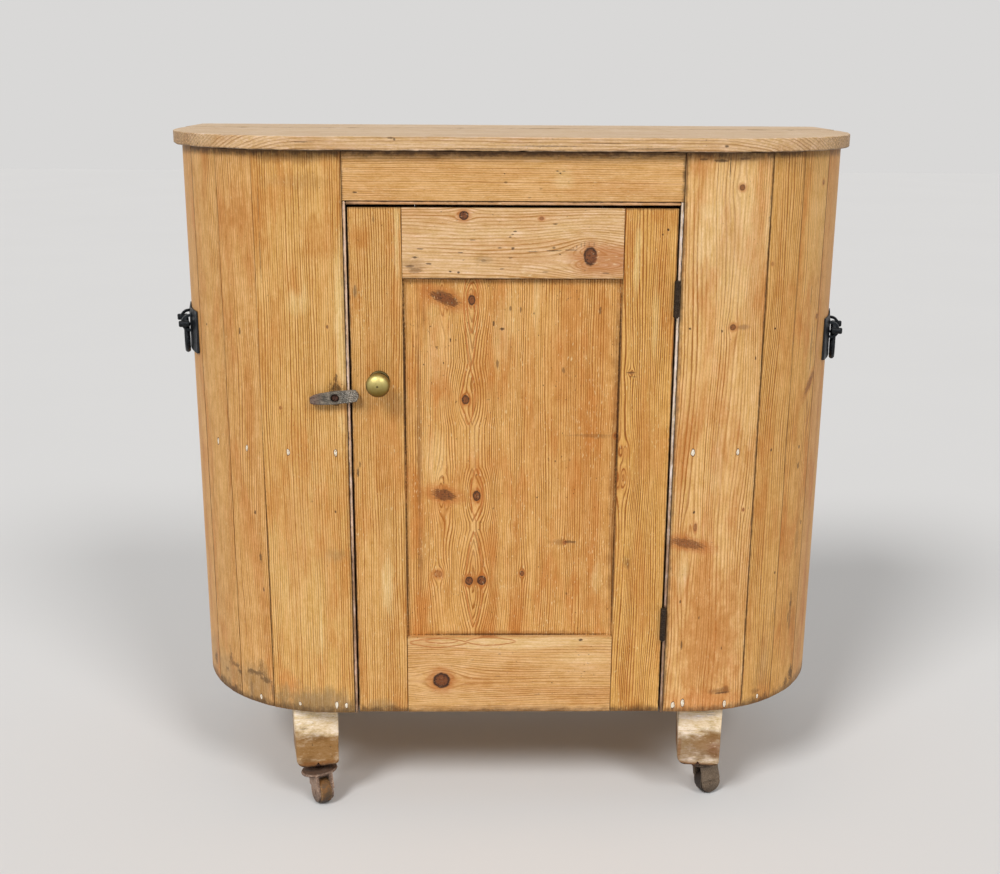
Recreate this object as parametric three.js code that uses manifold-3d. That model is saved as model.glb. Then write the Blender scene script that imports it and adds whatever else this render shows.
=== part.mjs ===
// A bow-ended pine cupboard on four castors, in millimetres, +Z up.
// It is drawn from the middle of its front face at the bottom of the carcass: +X to the right,
// +Y to the back. The last lines move it so that it stands on Z = 0, centred on the origin.
import * as THREE from 'three';
import { mergeVertices } from 'three/addons/utils/BufferGeometryUtils.js';
import Module from 'manifold-3d';

const wasm = await Module();
wasm.setup();

// Clearances
const fit = 0.3; // between pieces that rest on each other or one in the other
const boardGap = 0.5; // open joint between neighbouring boards

// Carcass: a flat front between two quarter-round corners, short straight sides and a flat back
const frontFlat = 550;
const cornerRadius = 225;
const bodyDepth = 420;
const bodyHeight = 848;
const wallThickness = 20;
const backThickness = 12;
const backBoardCount = 3;
const sideBoardCount = 2;
const leftJointAngles = [24.3, 41.3, 59]; // degrees round the left corner, from the front
const rightJointAngles = [22, 37, 53.6]; // the same round the right corner
const frontMarginLeft = 34; // flat front left of the door opening
const frontMarginRight = 40.5; // flat front right of it

// Top, of a front and a back plank
const topThickness = 20;
const topOverhang = 12.5;
const topBackOverhang = 2;
const topBackPlank = 135;
const topBackCorner = 18;

// Boards inside
const bottomThickness = 22;
const shelfThickness = 18;
const shelfHeight = 408; // underside of the middle shelf
const ribThickness = 20;
const ribStart = 20; // degrees round the corner where a top rib starts

// Header rail and the beads that line the opening
const headerHeight = 67.5;
const beadWidth = 5;
const beadProud = 1;

// Door
const doorGapSide = 2;
const doorGapTop = 3.5;
const doorLift = 1; // door's lower edge above the bottom of the carcass
const doorBackClearance = 1; // between the closed door and the boards behind it
const stileWidth = 75;
const topRailHeight = 98.5;
const bottomRailHeight = 125;
const panelRecess = 7;
const panelThickness = 8;
const grooveDepth = 8;

// Brass knob, by distances out from the door's face
const knobHeight = 528;
const knobInset = 39.4; // knob's axis from the door's free edge
const knobRadius = 17.2;
const knobProjection = 40;
const knobNeckRadius = 7;
const knobSpigotRadius = 2.5;
const knobSkirtHeight = 2.5;
const knobSpigotLength = 12;
const roseRadius = 17;
const roseThickness = 3.5;

// Turn button and its screw
const buttonLength = 73;
const buttonHeight = 20;
const buttonThickness = 10;
const buttonStandoff = 1.6; // button's back in front of the boards
const buttonPivotHeight = 502;
const buttonPivotInset = 16; // pivot from the edge of the opening
const buttonTilt = 5; // degrees, free end up
const buttonEdge = 1.6; // rounding of its edges
const screwShankRadius = 2.5;
const screwHeadRadius = 5.2;
const screwHeadThickness = 2.6;
const screwHeadSink = 3.4; // screw head's face below the button's face
const screwLength = 14; // length of shank in the board

// Butt hinges
const hingeHeights = { lower: 148, upper: 645 }; // middle of each hinge
const hingeLength = 50;
const hingeKnuckles = 5;
const hingeBarrelRadius = 4.2;
const hingePinRadius = 2;
const hingeProud = 4.5; // pin's axis in front of the door
const hingeLeafThickness = 2;
const hingeLeafWidth = 16;
const hingeLeafSpacing = 1.6;

// Iron drop handles on the curved ends
const handleAngle = 75.8; // degrees round the corner
const handlePivotHeights = { left: 582, right: 574 };
const plateSpan = 28; // degrees of the corner that a plate covers
const plateHeight = 64;
const plateThickness = 4;
const platePivotHeight = 42; // pivot above the plate's lower edge
const platePeakHeight = 7;
const platePeakWidth = 16;
const bailRodRadius = 4.2;
const bailDrop = 50; // pivot to the lowest point of the bail
const bailLegSpacing = 29;
const bailWidth = 44;
const bailStandoff = 0.6; // between the rod and the plate
const loopSpacing = 46;
const loopWidth = 6;
const loopStrap = 3.8;
const bailHeadRadius = 4.9;
const bailHeadBevel = 1.4;
const bailHeadReach = 12.6; // pivot to the outer face of a head

// Feet
const footWidth = 69;
const footDepth = 56;
const footHeight = 105;
const footFrontInset = 22; // front of the body to the front of a foot
const footSideInset = { left: 190, right: 199 }; // side of the body to the middle of a foot
const footRounds = { left: 14, right: 8 }; // radius of the two lower corners
const footTaper = 1.5; // how far each side draws in towards the bottom
const footTwists = { front_left: 12, front_right: -6, rear_left: 0, rear_right: 0 }; // degrees
const footNotch = 5; // half the width of the notch
const footNotchHeight = 6;

// Castors
const castorHeight = 67;
const castorTrail = 22; // swivel axis to wheel axle
const castorPlateRadius = 21;
const castorPlateThickness = 3;
const castorBossRadius = 9;
const castorPinRadius = 4.5;
const castorPinHeadRadius = 8;
const castorPinHeadThickness = 2;
const crownDrops = { front_left: 13, front_right: 7, rear_left: 7, rear_right: 7 }; // foot to crown
const crownReaches = { front_left: 30, front_right: 22, rear_left: 22, rear_right: 22 }; // to each side
const crownHalfDepth = 21; // along the trail
const crownThickness = 6;
const crownForward = 11; // middle of the crown in front of the swivel axis
const wheelRadius = 20;
const wheelWidth = 17.4;
const wheelSideClearance = 0.4;
const cheekThickness = 3.6;
const cheekEndRadius = 16.5;
const strapThickness = 5.4; // upper part of a cheek
const strapEnd = 7; // above the axle
const strapBack = 1; // rear and front edges at the crown, in front of the swivel axis
const strapFront = 30;
const axleRadius = 3;
const rivetRadius = 4.4;
const rivetThickness = 1.2;
const boreClearance = 0.5; // round pins, axles and shanks
const castorTurns = { front_left: -61, front_right: 24, rear_left: 35, rear_right: 160 };

// Fineness of round shapes
const arcSteps = 30; // over one quarter-round corner
const roundSegments = 20;
const smallSegments = 12;
const bailSides = 10;
const bailSteps = 32;

// Worked out from the dimensions above
const halfFlat = frontFlat / 2;
const halfWidth = halfFlat + cornerRadius;
const arcLength = (cornerRadius * Math.PI) / 2;
const openingLeft = frontMarginLeft - halfFlat;
const openingRight = halfFlat - frontMarginRight;
const doorThickness = wallThickness - doorBackClearance;
const doorLeft = openingLeft + beadWidth + doorGapSide;
const doorRight = openingRight - beadWidth - doorGapSide;
const headerBottom = bodyHeight - headerHeight;
const beadTop = headerBottom - fit;
const doorTop = beadTop - beadWidth - doorGapTop;
const innerOffset = -(wallThickness + fit);
const innerBack = bodyDepth - backThickness - fit;
const hingeX = doorRight + doorGapSide / 2;
const knobX = doorLeft + knobInset;
const buttonX = openingLeft - buttonPivotInset;
const loopInnerRadius = 2 * bailRodRadius + bailStandoff + 2 * fit;

const degrees = (angle) => (angle * Math.PI) / 180;
const circle = (radius) => new THREE.Shape().absarc(0, 0, radius, 0, 2 * Math.PI);

// Finishes
const pine = { color: 0xc98f4c, roughness: 0.6, metalness: 0 };
const palePine = { color: 0xd9a868, roughness: 0.65, metalness: 0 };
const barePine = { color: 0xd8bb90, roughness: 0.8, metalness: 0 };
const greyWood = { color: 0x7d7267, roughness: 0.85, metalness: 0 };
const brass = { color: 0x9c8a45, roughness: 0.35, metalness: 0.9 };
const blackIron = { color: 0x1b1c1e, roughness: 0.5, metalness: 0.7 };
const darkIron = { color: 0x3a2c24, roughness: 0.7, metalness: 0.6 };
const rustyIron = { color: 0x6e4a34, roughness: 0.85, metalness: 0.4 };

const cupboard = new THREE.Group();

function addPiece(parent, name, geometry, finish) {
  const mesh = new THREE.Mesh(geometry, new THREE.MeshStandardMaterial(finish));
  mesh.name = name;
  parent.add(mesh);
  return mesh;
}

// Closed solids from closed geometry, and back
function toSolid(geometry) {
  const bare = geometry.clone();
  bare.deleteAttribute('normal');
  bare.deleteAttribute('uv');
  const merged = mergeVertices(bare);
  const index = merged.index.array;
  const triangles = [];
  for (let i = 0; i < index.length; i += 3) {
    const [a, b, c] = [index[i], index[i + 1], index[i + 2]];
    if (a !== b && b !== c && c !== a) triangles.push(a, b, c);
  }
  const vertProperties = new Float32Array(merged.attributes.position.array);
  const triVerts = new Uint32Array(triangles);
  return new wasm.Manifold(new wasm.Mesh({ numProp: 3, vertProperties, triVerts }));
}

function toGeometry(solid) {
  const { vertProperties, triVerts } = solid.getMesh();
  const geometry = new THREE.BufferGeometry();
  geometry.setAttribute('position', new THREE.BufferAttribute(new Float32Array(vertProperties), 3));
  geometry.setIndex(new THREE.BufferAttribute(new Uint32Array(triVerts), 1));
  geometry.computeVertexNormals();
  return geometry;
}

function join(...geometries) {
  const solids = geometries.map(toSolid);
  return toGeometry(solids.reduce((whole, part) => whole.add(part)));
}

function cut(geometry, ...cutters) {
  const solids = cutters.map(toSolid);
  return toGeometry(solids.reduce((whole, part) => whole.subtract(part), toSolid(geometry)));
}

function common(first, second) {
  return toGeometry(toSolid(first).intersect(toSolid(second)));
}

// Plain forms, each given by its limits or its profile
function box([x0, x1], [y0, y1], [z0, z1]) {
  const geometry = new THREE.BoxGeometry(x1 - x0, y1 - y0, z1 - z0);
  return geometry.translate((x0 + x1) / 2, (y0 + y1) / 2, (z0 + z1) / 2);
}

function raised(shape, height, segments = roundSegments) {
  return new THREE.ExtrudeGeometry(shape, {
    depth: height,
    bevelEnabled: false,
    curveSegments: segments,
  });
}

function extruded(points, height) {
  return raised(new THREE.Shape(points), height);
}

// A profile of [radius, height] pairs turned about Z
function turned(profile, segments = roundSegments) {
  const points = profile.map(([radius, height]) => new THREE.Vector2(radius, height));
  return new THREE.LatheGeometry(points, segments).rotateX(Math.PI / 2);
}

function rod(radius, from, to, segments = smallSegments) {
  return turned([[0, from], [radius, from], [radius, to], [0, to]], segments);
}

function tube(inner, outer, from, to, segments = roundSegments) {
  const profile = [[inner, from], [outer, from], [outer, to], [inner, to], [inner, from]];
  return turned(profile, segments);
}

// Laid so that what stood up along Z now stands out of the front face, along -Y
const facingFront = (geometry) => geometry.rotateX(Math.PI / 2);

// Plan outline of the body, walked from the middle of the front round the right corner to the
// back. The offset is how far outside the body the walk runs.
function outlinePoint(walk, offset) {
  if (walk <= halfFlat) return new THREE.Vector2(walk, -offset);
  const turn = (walk - halfFlat) / cornerRadius;
  if (turn < Math.PI / 2) {
    const reach = cornerRadius + offset;
    return new THREE.Vector2(halfFlat + reach * Math.sin(turn), cornerRadius - reach * Math.cos(turn));
  }
  return new THREE.Vector2(halfWidth + offset, cornerRadius + walk - halfFlat - arcLength);
}

function outlineRun(from, to, offset) {
  const walks = [from];
  for (let step = 0; step <= arcSteps; step += 1) {
    const walk = halfFlat + (arcLength * step) / arcSteps;
    if (walk > from + fit && walk < to - fit) walks.push(walk);
  }
  walks.push(to);
  return walks.map((walk) => outlinePoint(walk, offset));
}

const mirrored = (points) => points.map((point) => new THREE.Vector2(-point.x, point.y));
const cornerWalk = (angle) => halfFlat + cornerRadius * degrees(angle);
const sideWalk = (y) => halfFlat + arcLength + y - cornerRadius;

// An upright board of the wall between two places on the walk
function wallBoard(side, from, to) {
  const outer = outlineRun(from, to, 0);
  const inner = outlineRun(from, to, -wallThickness).reverse();
  const points = [...outer, ...inner];
  return extruded(side < 0 ? mirrored(points) : points, bodyHeight);
}

// A level board with the plan of the whole body, from the front to a given depth
function planBoard(offset, back, thickness) {
  const right = outlineRun(0, sideWalk(back), offset);
  return extruded([...right, ...mirrored(right.slice(1)).reverse()], thickness);
}

function addWalls() {
  const sides = [
    { word: 'left', side: -1, start: -openingLeft, joints: leftJointAngles },
    { word: 'right', side: 1, start: openingRight, joints: rightJointAngles },
  ];
  for (const { word, side, start, joints } of sides) {
    const sideLength = bodyDepth - cornerRadius;
    const edges = [start, ...joints.map(cornerWalk)];
    for (let board = 0; board <= sideBoardCount; board += 1) {
      edges.push(sideWalk(cornerRadius + (sideLength * board) / sideBoardCount));
    }
    for (let board = 0; board + 1 < edges.length; board += 1) {
      const from = edges[board] + (board === 0 ? 0 : boardGap / 2);
      const last = board + 2 === edges.length;
      const to = edges[board + 1] - (last ? 0 : boardGap / 2);
      let geometry = wallBoard(side, from, to);
      if (board === 0 && side < 0) geometry = cut(geometry, buttonScrewHole());
      const name = board === 0 ? `front_board_${word}` : `stave_${word}_${board}`;
      addPiece(cupboard, name, geometry, pine);
    }
  }
}

function buttonScrewHole() {
  const hole = facingFront(rod(screwShankRadius + boreClearance, -screwLength - 1, 1));
  return hole.translate(buttonX, 0, buttonPivotHeight);
}

function addBack() {
  const inside = 2 * (halfWidth - wallThickness - fit);
  const width = (inside - (backBoardCount - 1) * boardGap) / backBoardCount;
  for (let board = 0; board < backBoardCount; board += 1) {
    const left = -inside / 2 + board * (width + boardGap);
    const limits = [[left, left + width], [bodyDepth - backThickness, bodyDepth], [0, bodyHeight]];
    addPiece(cupboard, `back_board_${board + 1}`, box(...limits), palePine);
  }
}

function addLevelBoards() {
  const bottom = planBoard(innerOffset, innerBack, bottomThickness);
  addPiece(cupboard, 'bottom_board', bottom, palePine);
  const shelf = planBoard(innerOffset, innerBack, shelfThickness);
  addPiece(cupboard, 'middle_shelf', shelf, palePine).position.z = shelfHeight;
  for (const [word, side] of [['left', -1], ['right', 1]]) {
    const edge = outlineRun(cornerWalk(ribStart), sideWalk(innerBack), innerOffset);
    const points = [...edge, new THREE.Vector2(edge[0].x, innerBack)];
    const rib = extruded(side < 0 ? mirrored(points) : points, ribThickness);
    addPiece(cupboard, `top_rib_${word}`, rib, palePine).position.z = bodyHeight - ribThickness;
  }
}

function addTop() {
  const back = bodyDepth + topBackOverhang;
  const split = back - topBackPlank;
  const front = planBoard(topOverhang, split - boardGap / 2, topThickness);
  addPiece(cupboard, 'top_front_plank', front, pine).position.z = bodyHeight + fit;
  const side = halfWidth + topOverhang;
  const shape = new THREE.Shape()
    .moveTo(-side, split + boardGap / 2)
    .lineTo(side, split + boardGap / 2)
    .lineTo(side, back - topBackCorner)
    .absarc(side - topBackCorner, back - topBackCorner, topBackCorner, 0, Math.PI / 2)
    .lineTo(topBackCorner - side, back)
    .absarc(topBackCorner - side, back - topBackCorner, topBackCorner, Math.PI / 2, Math.PI);
  const rear = raised(shape, topThickness, smallSegments / 2);
  addPiece(cupboard, 'top_back_plank', rear, pine).position.z = bodyHeight + fit;
}

// Space that a closed hinge takes out of the wood on one side of its axis
function hingeRecess(side, height) {
  const inner = hingeX - side;
  const outer = hingeX + side * (hingeLeafSpacing / 2 + hingeLeafThickness + fit);
  const xs = [Math.min(inner, outer), Math.max(inner, outer)];
  const half = hingeLength / 2 + fit;
  return box(xs, [-beadProud - 1, hingeLeafWidth + fit], [height - half, height + half]);
}

function addFrontFrame() {
  const headerXs = [openingLeft + fit, openingRight - fit];
  const header = box(headerXs, [0, wallThickness], [headerBottom, bodyHeight]);
  addPiece(cupboard, 'header_rail', header, pine);
  const beadYs = [-beadProud, wallThickness];
  const leftXs = [openingLeft + fit, openingLeft + beadWidth];
  addPiece(cupboard, 'bead_left', box(leftXs, beadYs, [0, beadTop]), palePine);
  const rightXs = [openingRight - beadWidth, openingRight - fit];
  const cuts = Object.values(hingeHeights).flatMap((height) => {
    const half = hingeLength / 2 + fit;
    const wide = [hingeX, openingRight + 1];
    const flush = box(wide, [-beadProud - 1, 0], [height - half, height + half]);
    return [hingeRecess(1, height), flush];
  });
  addPiece(cupboard, 'bead_right', cut(box(rightXs, beadYs, [0, beadTop]), ...cuts), palePine);
  const topXs = [leftXs[1] + fit, rightXs[0] - fit];
  const topBead = box(topXs, beadYs, [beadTop - beadWidth, beadTop]);
  addPiece(cupboard, 'bead_top', topBead, palePine);
}

function addDoor() {
  const door = new THREE.Group();
  cupboard.add(door);
  const ys = [0, doorThickness];
  const grooveYs = [panelRecess, panelRecess + panelThickness + 2 * fit];
  const tongueYs = [grooveYs[0] + fit, grooveYs[1] - fit];
  const leftXs = [doorLeft, doorLeft + stileWidth];
  const rightXs = [doorRight - stileWidth, doorRight];
  const zs = [doorLift, doorTop];
  const past = [doorLift - 1, doorTop + 1];

  const leftGroove = box([leftXs[1] - grooveDepth, leftXs[1] + 1], grooveYs, past);
  const spigotHole = facingFront(rod(knobSpigotRadius + boreClearance, -knobSpigotLength - 1, 1));
  spigotHole.translate(knobX, 0, knobHeight);
  const leftStile = cut(box(leftXs, ys, zs), leftGroove, spigotHole);
  addPiece(door, 'door_stile_left', leftStile, pine);

  const rightGroove = box([rightXs[0] - 1, rightXs[0] + grooveDepth], grooveYs, past);
  const recesses = Object.values(hingeHeights).map((height) => hingeRecess(-1, height));
  const rightStile = cut(box(rightXs, ys, zs), rightGroove, ...recesses);
  addPiece(door, 'door_stile_right', rightStile, pine);

  const railXs = [leftXs[1] + fit, rightXs[0] - fit];
  const tenonXs = [leftXs[1] - grooveDepth + fit, rightXs[0] + grooveDepth - fit];
  const topZs = [doorTop - topRailHeight, doorTop];
  const topGroove = box([tenonXs[0] - 1, tenonXs[1] + 1], grooveYs, [topZs[0] - 1, topZs[0] + grooveDepth]);
  const topRail = cut(join(box(railXs, ys, topZs), box(tenonXs, tongueYs, topZs)), topGroove);
  addPiece(door, 'door_rail_top', topRail, palePine);

  const lowZs = [doorLift, doorLift + bottomRailHeight];
  const lowGroove = box([tenonXs[0] - 1, tenonXs[1] + 1], grooveYs, [lowZs[1] - grooveDepth, lowZs[1] + 1]);
  const lowRail = cut(join(box(railXs, ys, lowZs), box(tenonXs, tongueYs, lowZs)), lowGroove);
  addPiece(door, 'door_rail_bottom', lowRail, palePine);

  const panelZs = [lowZs[1] - grooveDepth + fit, topZs[0] + grooveDepth - fit];
  addPiece(door, 'door_panel', box(tenonXs, tongueYs, panelZs), pine);
  addKnob(door);
}

function addKnob(door) {
  const rose = tube(knobSpigotRadius + boreClearance, roseRadius, fit, roseThickness);
  const roseMesh = addPiece(door, 'knob_rose', facingFront(rose), brass);
  roseMesh.position.set(knobX, 0, knobHeight);
  const seat = roseThickness + fit;
  const widest = knobProjection * 0.72;
  const neckEnd = knobProjection * 0.42;
  const profile = [
    [0, -knobSpigotLength],
    [knobSpigotRadius, -knobSpigotLength],
    [knobSpigotRadius, seat],
    [knobNeckRadius * 1.5, seat],
    [knobNeckRadius * 1.1, seat + knobSkirtHeight],
    [knobNeckRadius, neckEnd],
  ];
  const underHead = 3;
  for (let step = 1; step <= underHead; step += 1) {
    const turn = (step / underHead) * (Math.PI / 2);
    const radius = knobNeckRadius + (knobRadius - knobNeckRadius) * Math.sin(turn);
    profile.push([radius, widest - (widest - neckEnd) * Math.cos(turn)]);
  }
  const dome = 5;
  for (let step = 1; step <= dome; step += 1) {
    const turn = (step / dome) * (Math.PI / 2);
    const radius = step === dome ? 0 : knobRadius * Math.cos(turn);
    profile.push([radius, widest + (knobProjection - widest) * Math.sin(turn)]);
  }
  const knobMesh = addPiece(door, 'knob', facingFront(turned(profile)), brass);
  knobMesh.position.set(knobX, 0, knobHeight);
}

function addTurnButton() {
  const half = buttonLength / 2 - buttonEdge;
  const high = buttonHeight / 2 - buttonEdge;
  const outline = new THREE.Shape()
    .moveTo(-half, -high * 0.62)
    .quadraticCurveTo(-half * 0.4, -high, 0, -high)
    .lineTo(half * 0.86, -high * 0.8)
    .quadraticCurveTo(half * 1.04, 0, half * 0.86, high * 0.86)
    .lineTo(0, high)
    .quadraticCurveTo(-half * 0.5, high * 0.9, -half, high * 0.5);
  const blank = new THREE.ExtrudeGeometry(outline, {
    depth: buttonThickness - 2 * buttonEdge,
    bevelEnabled: true,
    bevelThickness: buttonEdge,
    bevelSize: buttonEdge,
    bevelSegments: 2,
    curveSegments: 5,
  }).translate(0, 0, buttonEdge);
  const shankHole = rod(screwShankRadius + boreClearance, -1, buttonThickness + 1);
  const seat = buttonThickness - screwHeadSink - screwHeadThickness - fit;
  const sink = rod(screwHeadRadius + boreClearance, seat, buttonThickness + 1);
  const button = facingFront(cut(blank, shankHole, sink));
  const mesh = addPiece(cupboard, 'turn_button', button, greyWood);
  mesh.position.set(buttonX, -buttonStandoff, buttonPivotHeight);
  mesh.rotation.y = -degrees(buttonTilt);

  const headBack = buttonStandoff + seat + fit;
  const screw = turned([
    [0, -screwLength],
    [screwShankRadius, -screwLength],
    [screwShankRadius, headBack],
    [screwHeadRadius, headBack],
    [screwHeadRadius, headBack + screwHeadThickness * 0.5],
    [0, headBack + screwHeadThickness],
  ], smallSegments);
  const screwMesh = addPiece(cupboard, 'turn_button_screw', facingFront(screw), darkIron);
  screwMesh.position.set(buttonX, 0, buttonPivotHeight);
}

// One leaf with its share of the knuckles, about the pin's axis, for the wood on the given side
function hingeLeaf(side, firstKnuckle) {
  const near = side * (hingeLeafSpacing / 2);
  const far = near + side * hingeLeafThickness;
  const xs = [Math.min(near, far), Math.max(near, far)];
  const half = hingeLength / 2;
  const frontFace = hingeProud + fit;
  const parts = [box(xs, [frontFace, hingeProud + hingeLeafWidth], [-half, half])];
  const pitch = hingeLength / hingeKnuckles;
  for (let knuckle = firstKnuckle; knuckle < hingeKnuckles; knuckle += 2) {
    const low = -half + knuckle * pitch + (knuckle === 0 ? 0 : fit / 2);
    const high = -half + (knuckle + 1) * pitch - (knuckle + 1 === hingeKnuckles ? 0 : fit / 2);
    parts.push(rod(hingeBarrelRadius, low, high));
    parts.push(box(xs, [0, frontFace + 1], [low, high]));
  }
  const bore = rod(hingePinRadius + fit, -half - 1, half + 1);
  return cut(join(...parts), bore);
}

function addHinges() {
  for (const [word, height] of Object.entries(hingeHeights)) {
    const hinge = new THREE.Group();
    hinge.position.set(hingeX, -hingeProud, height);
    cupboard.add(hinge);
    addPiece(hinge, `hinge_${word}_frame_leaf`, hingeLeaf(1, 0), darkIron);
    addPiece(hinge, `hinge_${word}_door_leaf`, hingeLeaf(-1, 1), darkIron);
    const end = hingeLength / 2 + fit;
    const tip = hingePinRadius * 0.9;
    const pin = turned([
      [0, -end - tip],
      [hingePinRadius * 1.5, -end - tip * 0.6],
      [hingePinRadius * 1.5, -end],
      [hingePinRadius, -end],
      [hingePinRadius, end],
      [hingePinRadius * 1.5, end],
      [hingePinRadius * 1.5, end + tip * 0.6],
      [0, end + tip],
    ], smallSegments);
    addPiece(hinge, `hinge_${word}_pin`, pin, darkIron);
  }
}

// Handle pieces are drawn about the pivot's foot on the wall: X along the wall, Y out of it
function handlePlate() {
  const inner = cornerRadius + fit;
  const outer = inner + plateThickness;
  const half = degrees(plateSpan / 2);
  const sector = new THREE.Shape()
    .absarc(0, -cornerRadius, outer, Math.PI / 2 - half, Math.PI / 2 + half)
    .absarc(0, -cornerRadius, inner, Math.PI / 2 + half, Math.PI / 2 - half, true);
  const low = -platePivotHeight;
  const high = plateHeight - platePivotHeight;
  const band = raised(sector, plateHeight + platePeakHeight, smallSegments / 2).translate(0, 0, low);
  const reach = outer * Math.sin(half) + 1;
  const front = new THREE.Shape([
    new THREE.Vector2(-reach, low),
    new THREE.Vector2(reach, low),
    new THREE.Vector2(reach, high),
    new THREE.Vector2(platePeakWidth / 2, high),
    new THREE.Vector2(0, high + platePeakHeight),
    new THREE.Vector2(-platePeakWidth / 2, high),
    new THREE.Vector2(-reach, high),
  ]);
  const deep = 2 * plateThickness + cornerRadius / 4;
  const outline = facingFront(raised(front, 2 * deep)).translate(0, deep, 0);
  const plate = common(band, outline);

  const strapOuter = loopInnerRadius + loopStrap;
  const embed = plateThickness * 0.7;
  const strap = new THREE.Shape()
    .moveTo(-embed, -strapOuter)
    .absarc(0, 0, strapOuter, -Math.PI / 2, Math.PI / 2)
    .lineTo(-embed, strapOuter)
    .lineTo(-embed, loopInnerRadius)
    .absarc(0, 0, loopInnerRadius, Math.PI / 2, -Math.PI / 2, true)
    .lineTo(-embed, -loopInnerRadius);
  const loops = [-1, 1].map((side) => {
    const loop = raised(strap, loopWidth, smallSegments / 2).rotateX(Math.PI / 2).rotateZ(Math.PI / 2);
    const middle = (side * loopSpacing) / 2;
    return loop.translate(middle - loopWidth / 2, fit + plateThickness, 0);
  });
  return join(plate, ...loops);
}

function handleBail() {
  const leg = bailLegSpacing / 2;
  const wide = bailWidth / 2 - bailRodRadius / 2;
  const bend = bailRodRadius * 1.3;
  const low = bailRodRadius - bailDrop;
  const end = loopSpacing / 2 + loopWidth / 2 + bailHeadRadius + fit;
  const halfPath = [
    [-end, 0],
    [-leg - bend * 2, 0],
    [-leg - bend, 0],
    [-leg - bend * 0.3, -bend * 0.3],
    [-leg, -bend],
    [-leg, -loopInnerRadius - loopStrap],
    [-wide, low * 0.62],
    [-wide * 0.72, low * 0.88],
  ];
  const points = [...halfPath, [0, low], ...halfPath.map(([x, z]) => [-x, z]).reverse()];
  const vectors = points.map(([x, z]) => new THREE.Vector3(x, 0, z));
  const path = new THREE.CatmullRomCurve3(vectors, false, 'centripetal');
  const sweep = new THREE.ExtrudeGeometry(circle(bailRodRadius), {
    steps: bailSteps,
    curveSegments: bailSides / 2,
    extrudePath: path,
  });
  const heads = [-1, 1].map((side) => {
    const profile = [
      [0, -bailHeadRadius],
      [bailHeadRadius, -bailHeadRadius * 0.5],
      [bailHeadRadius, bailHeadReach - bailHeadBevel],
      [bailHeadRadius - bailHeadBevel, bailHeadReach],
      [0, bailHeadReach],
    ];
    const head = turned(profile, smallSegments).rotateX(-Math.PI / 2);
    return head.translate(side * end, 0, 0);
  });
  return join(sweep, ...heads);
}

function addHandles() {
  const turn = degrees(handleAngle);
  for (const [word, side] of [['left', -1], ['right', 1]]) {
    const handle = new THREE.Group();
    const x = side * (halfFlat + cornerRadius * Math.sin(turn));
    const y = cornerRadius - cornerRadius * Math.cos(turn);
    handle.position.set(x, y, handlePivotHeights[word]);
    handle.rotation.z = side > 0 ? turn - Math.PI : Math.PI - turn;
    cupboard.add(handle);
    addPiece(handle, `handle_plate_${word}`, handlePlate(), blackIron);
    const bail = addPiece(handle, `handle_bail_${word}`, handleBail(), blackIron);
    bail.position.y = fit + plateThickness + bailStandoff + bailRodRadius;
  }
}

function footBlock() {
  const top = footWidth / 2;
  const half = top - footTaper;
  const low = -footHeight;
  const { left, right } = footRounds;
  const shape = new THREE.Shape()
    .moveTo(-top, -fit)
    .lineTo(-half, low + left)
    .absarc(left - half, low + left, left, Math.PI, 1.5 * Math.PI)
    .lineTo(half - right, low)
    .absarc(half - right, low + right, right, 1.5 * Math.PI, 2 * Math.PI)
    .lineTo(top, -fit);
  const block = facingFront(raised(shape, footDepth, 6)).translate(0, footDepth / 2, 0);
  const notch = new THREE.Shape([
    new THREE.Vector2(-footNotch, low - 1),
    new THREE.Vector2(footNotch, low - 1),
    new THREE.Vector2(0, low + footNotchHeight),
  ]);
  const wedge = facingFront(raised(notch, 3 * footNotch)).translate(0, 2 * footNotch - footDepth / 2, 0);
  return cut(block, wedge);
}

// Castor pieces are drawn about the swivel axis from the foot's lower face: X along the trail
const axleHeight = wheelRadius - castorHeight;
const cheekInside = wheelWidth / 2 + wheelSideClearance;

function castorPlate(crownTop) {
  const bossEnd = crownTop + fit;
  const headTop = crownTop - crownThickness - fit;
  return turned([
    [0, headTop - castorPinHeadThickness],
    [castorPinHeadRadius, headTop - castorPinHeadThickness],
    [castorPinHeadRadius, headTop],
    [castorPinRadius, headTop],
    [castorPinRadius, bossEnd],
    [castorBossRadius, bossEnd],
    [castorBossRadius, -fit - castorPlateThickness],
    [castorPlateRadius, -fit - castorPlateThickness],
    [castorPlateRadius, -fit],
    [0, -fit],
  ]);
}

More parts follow.
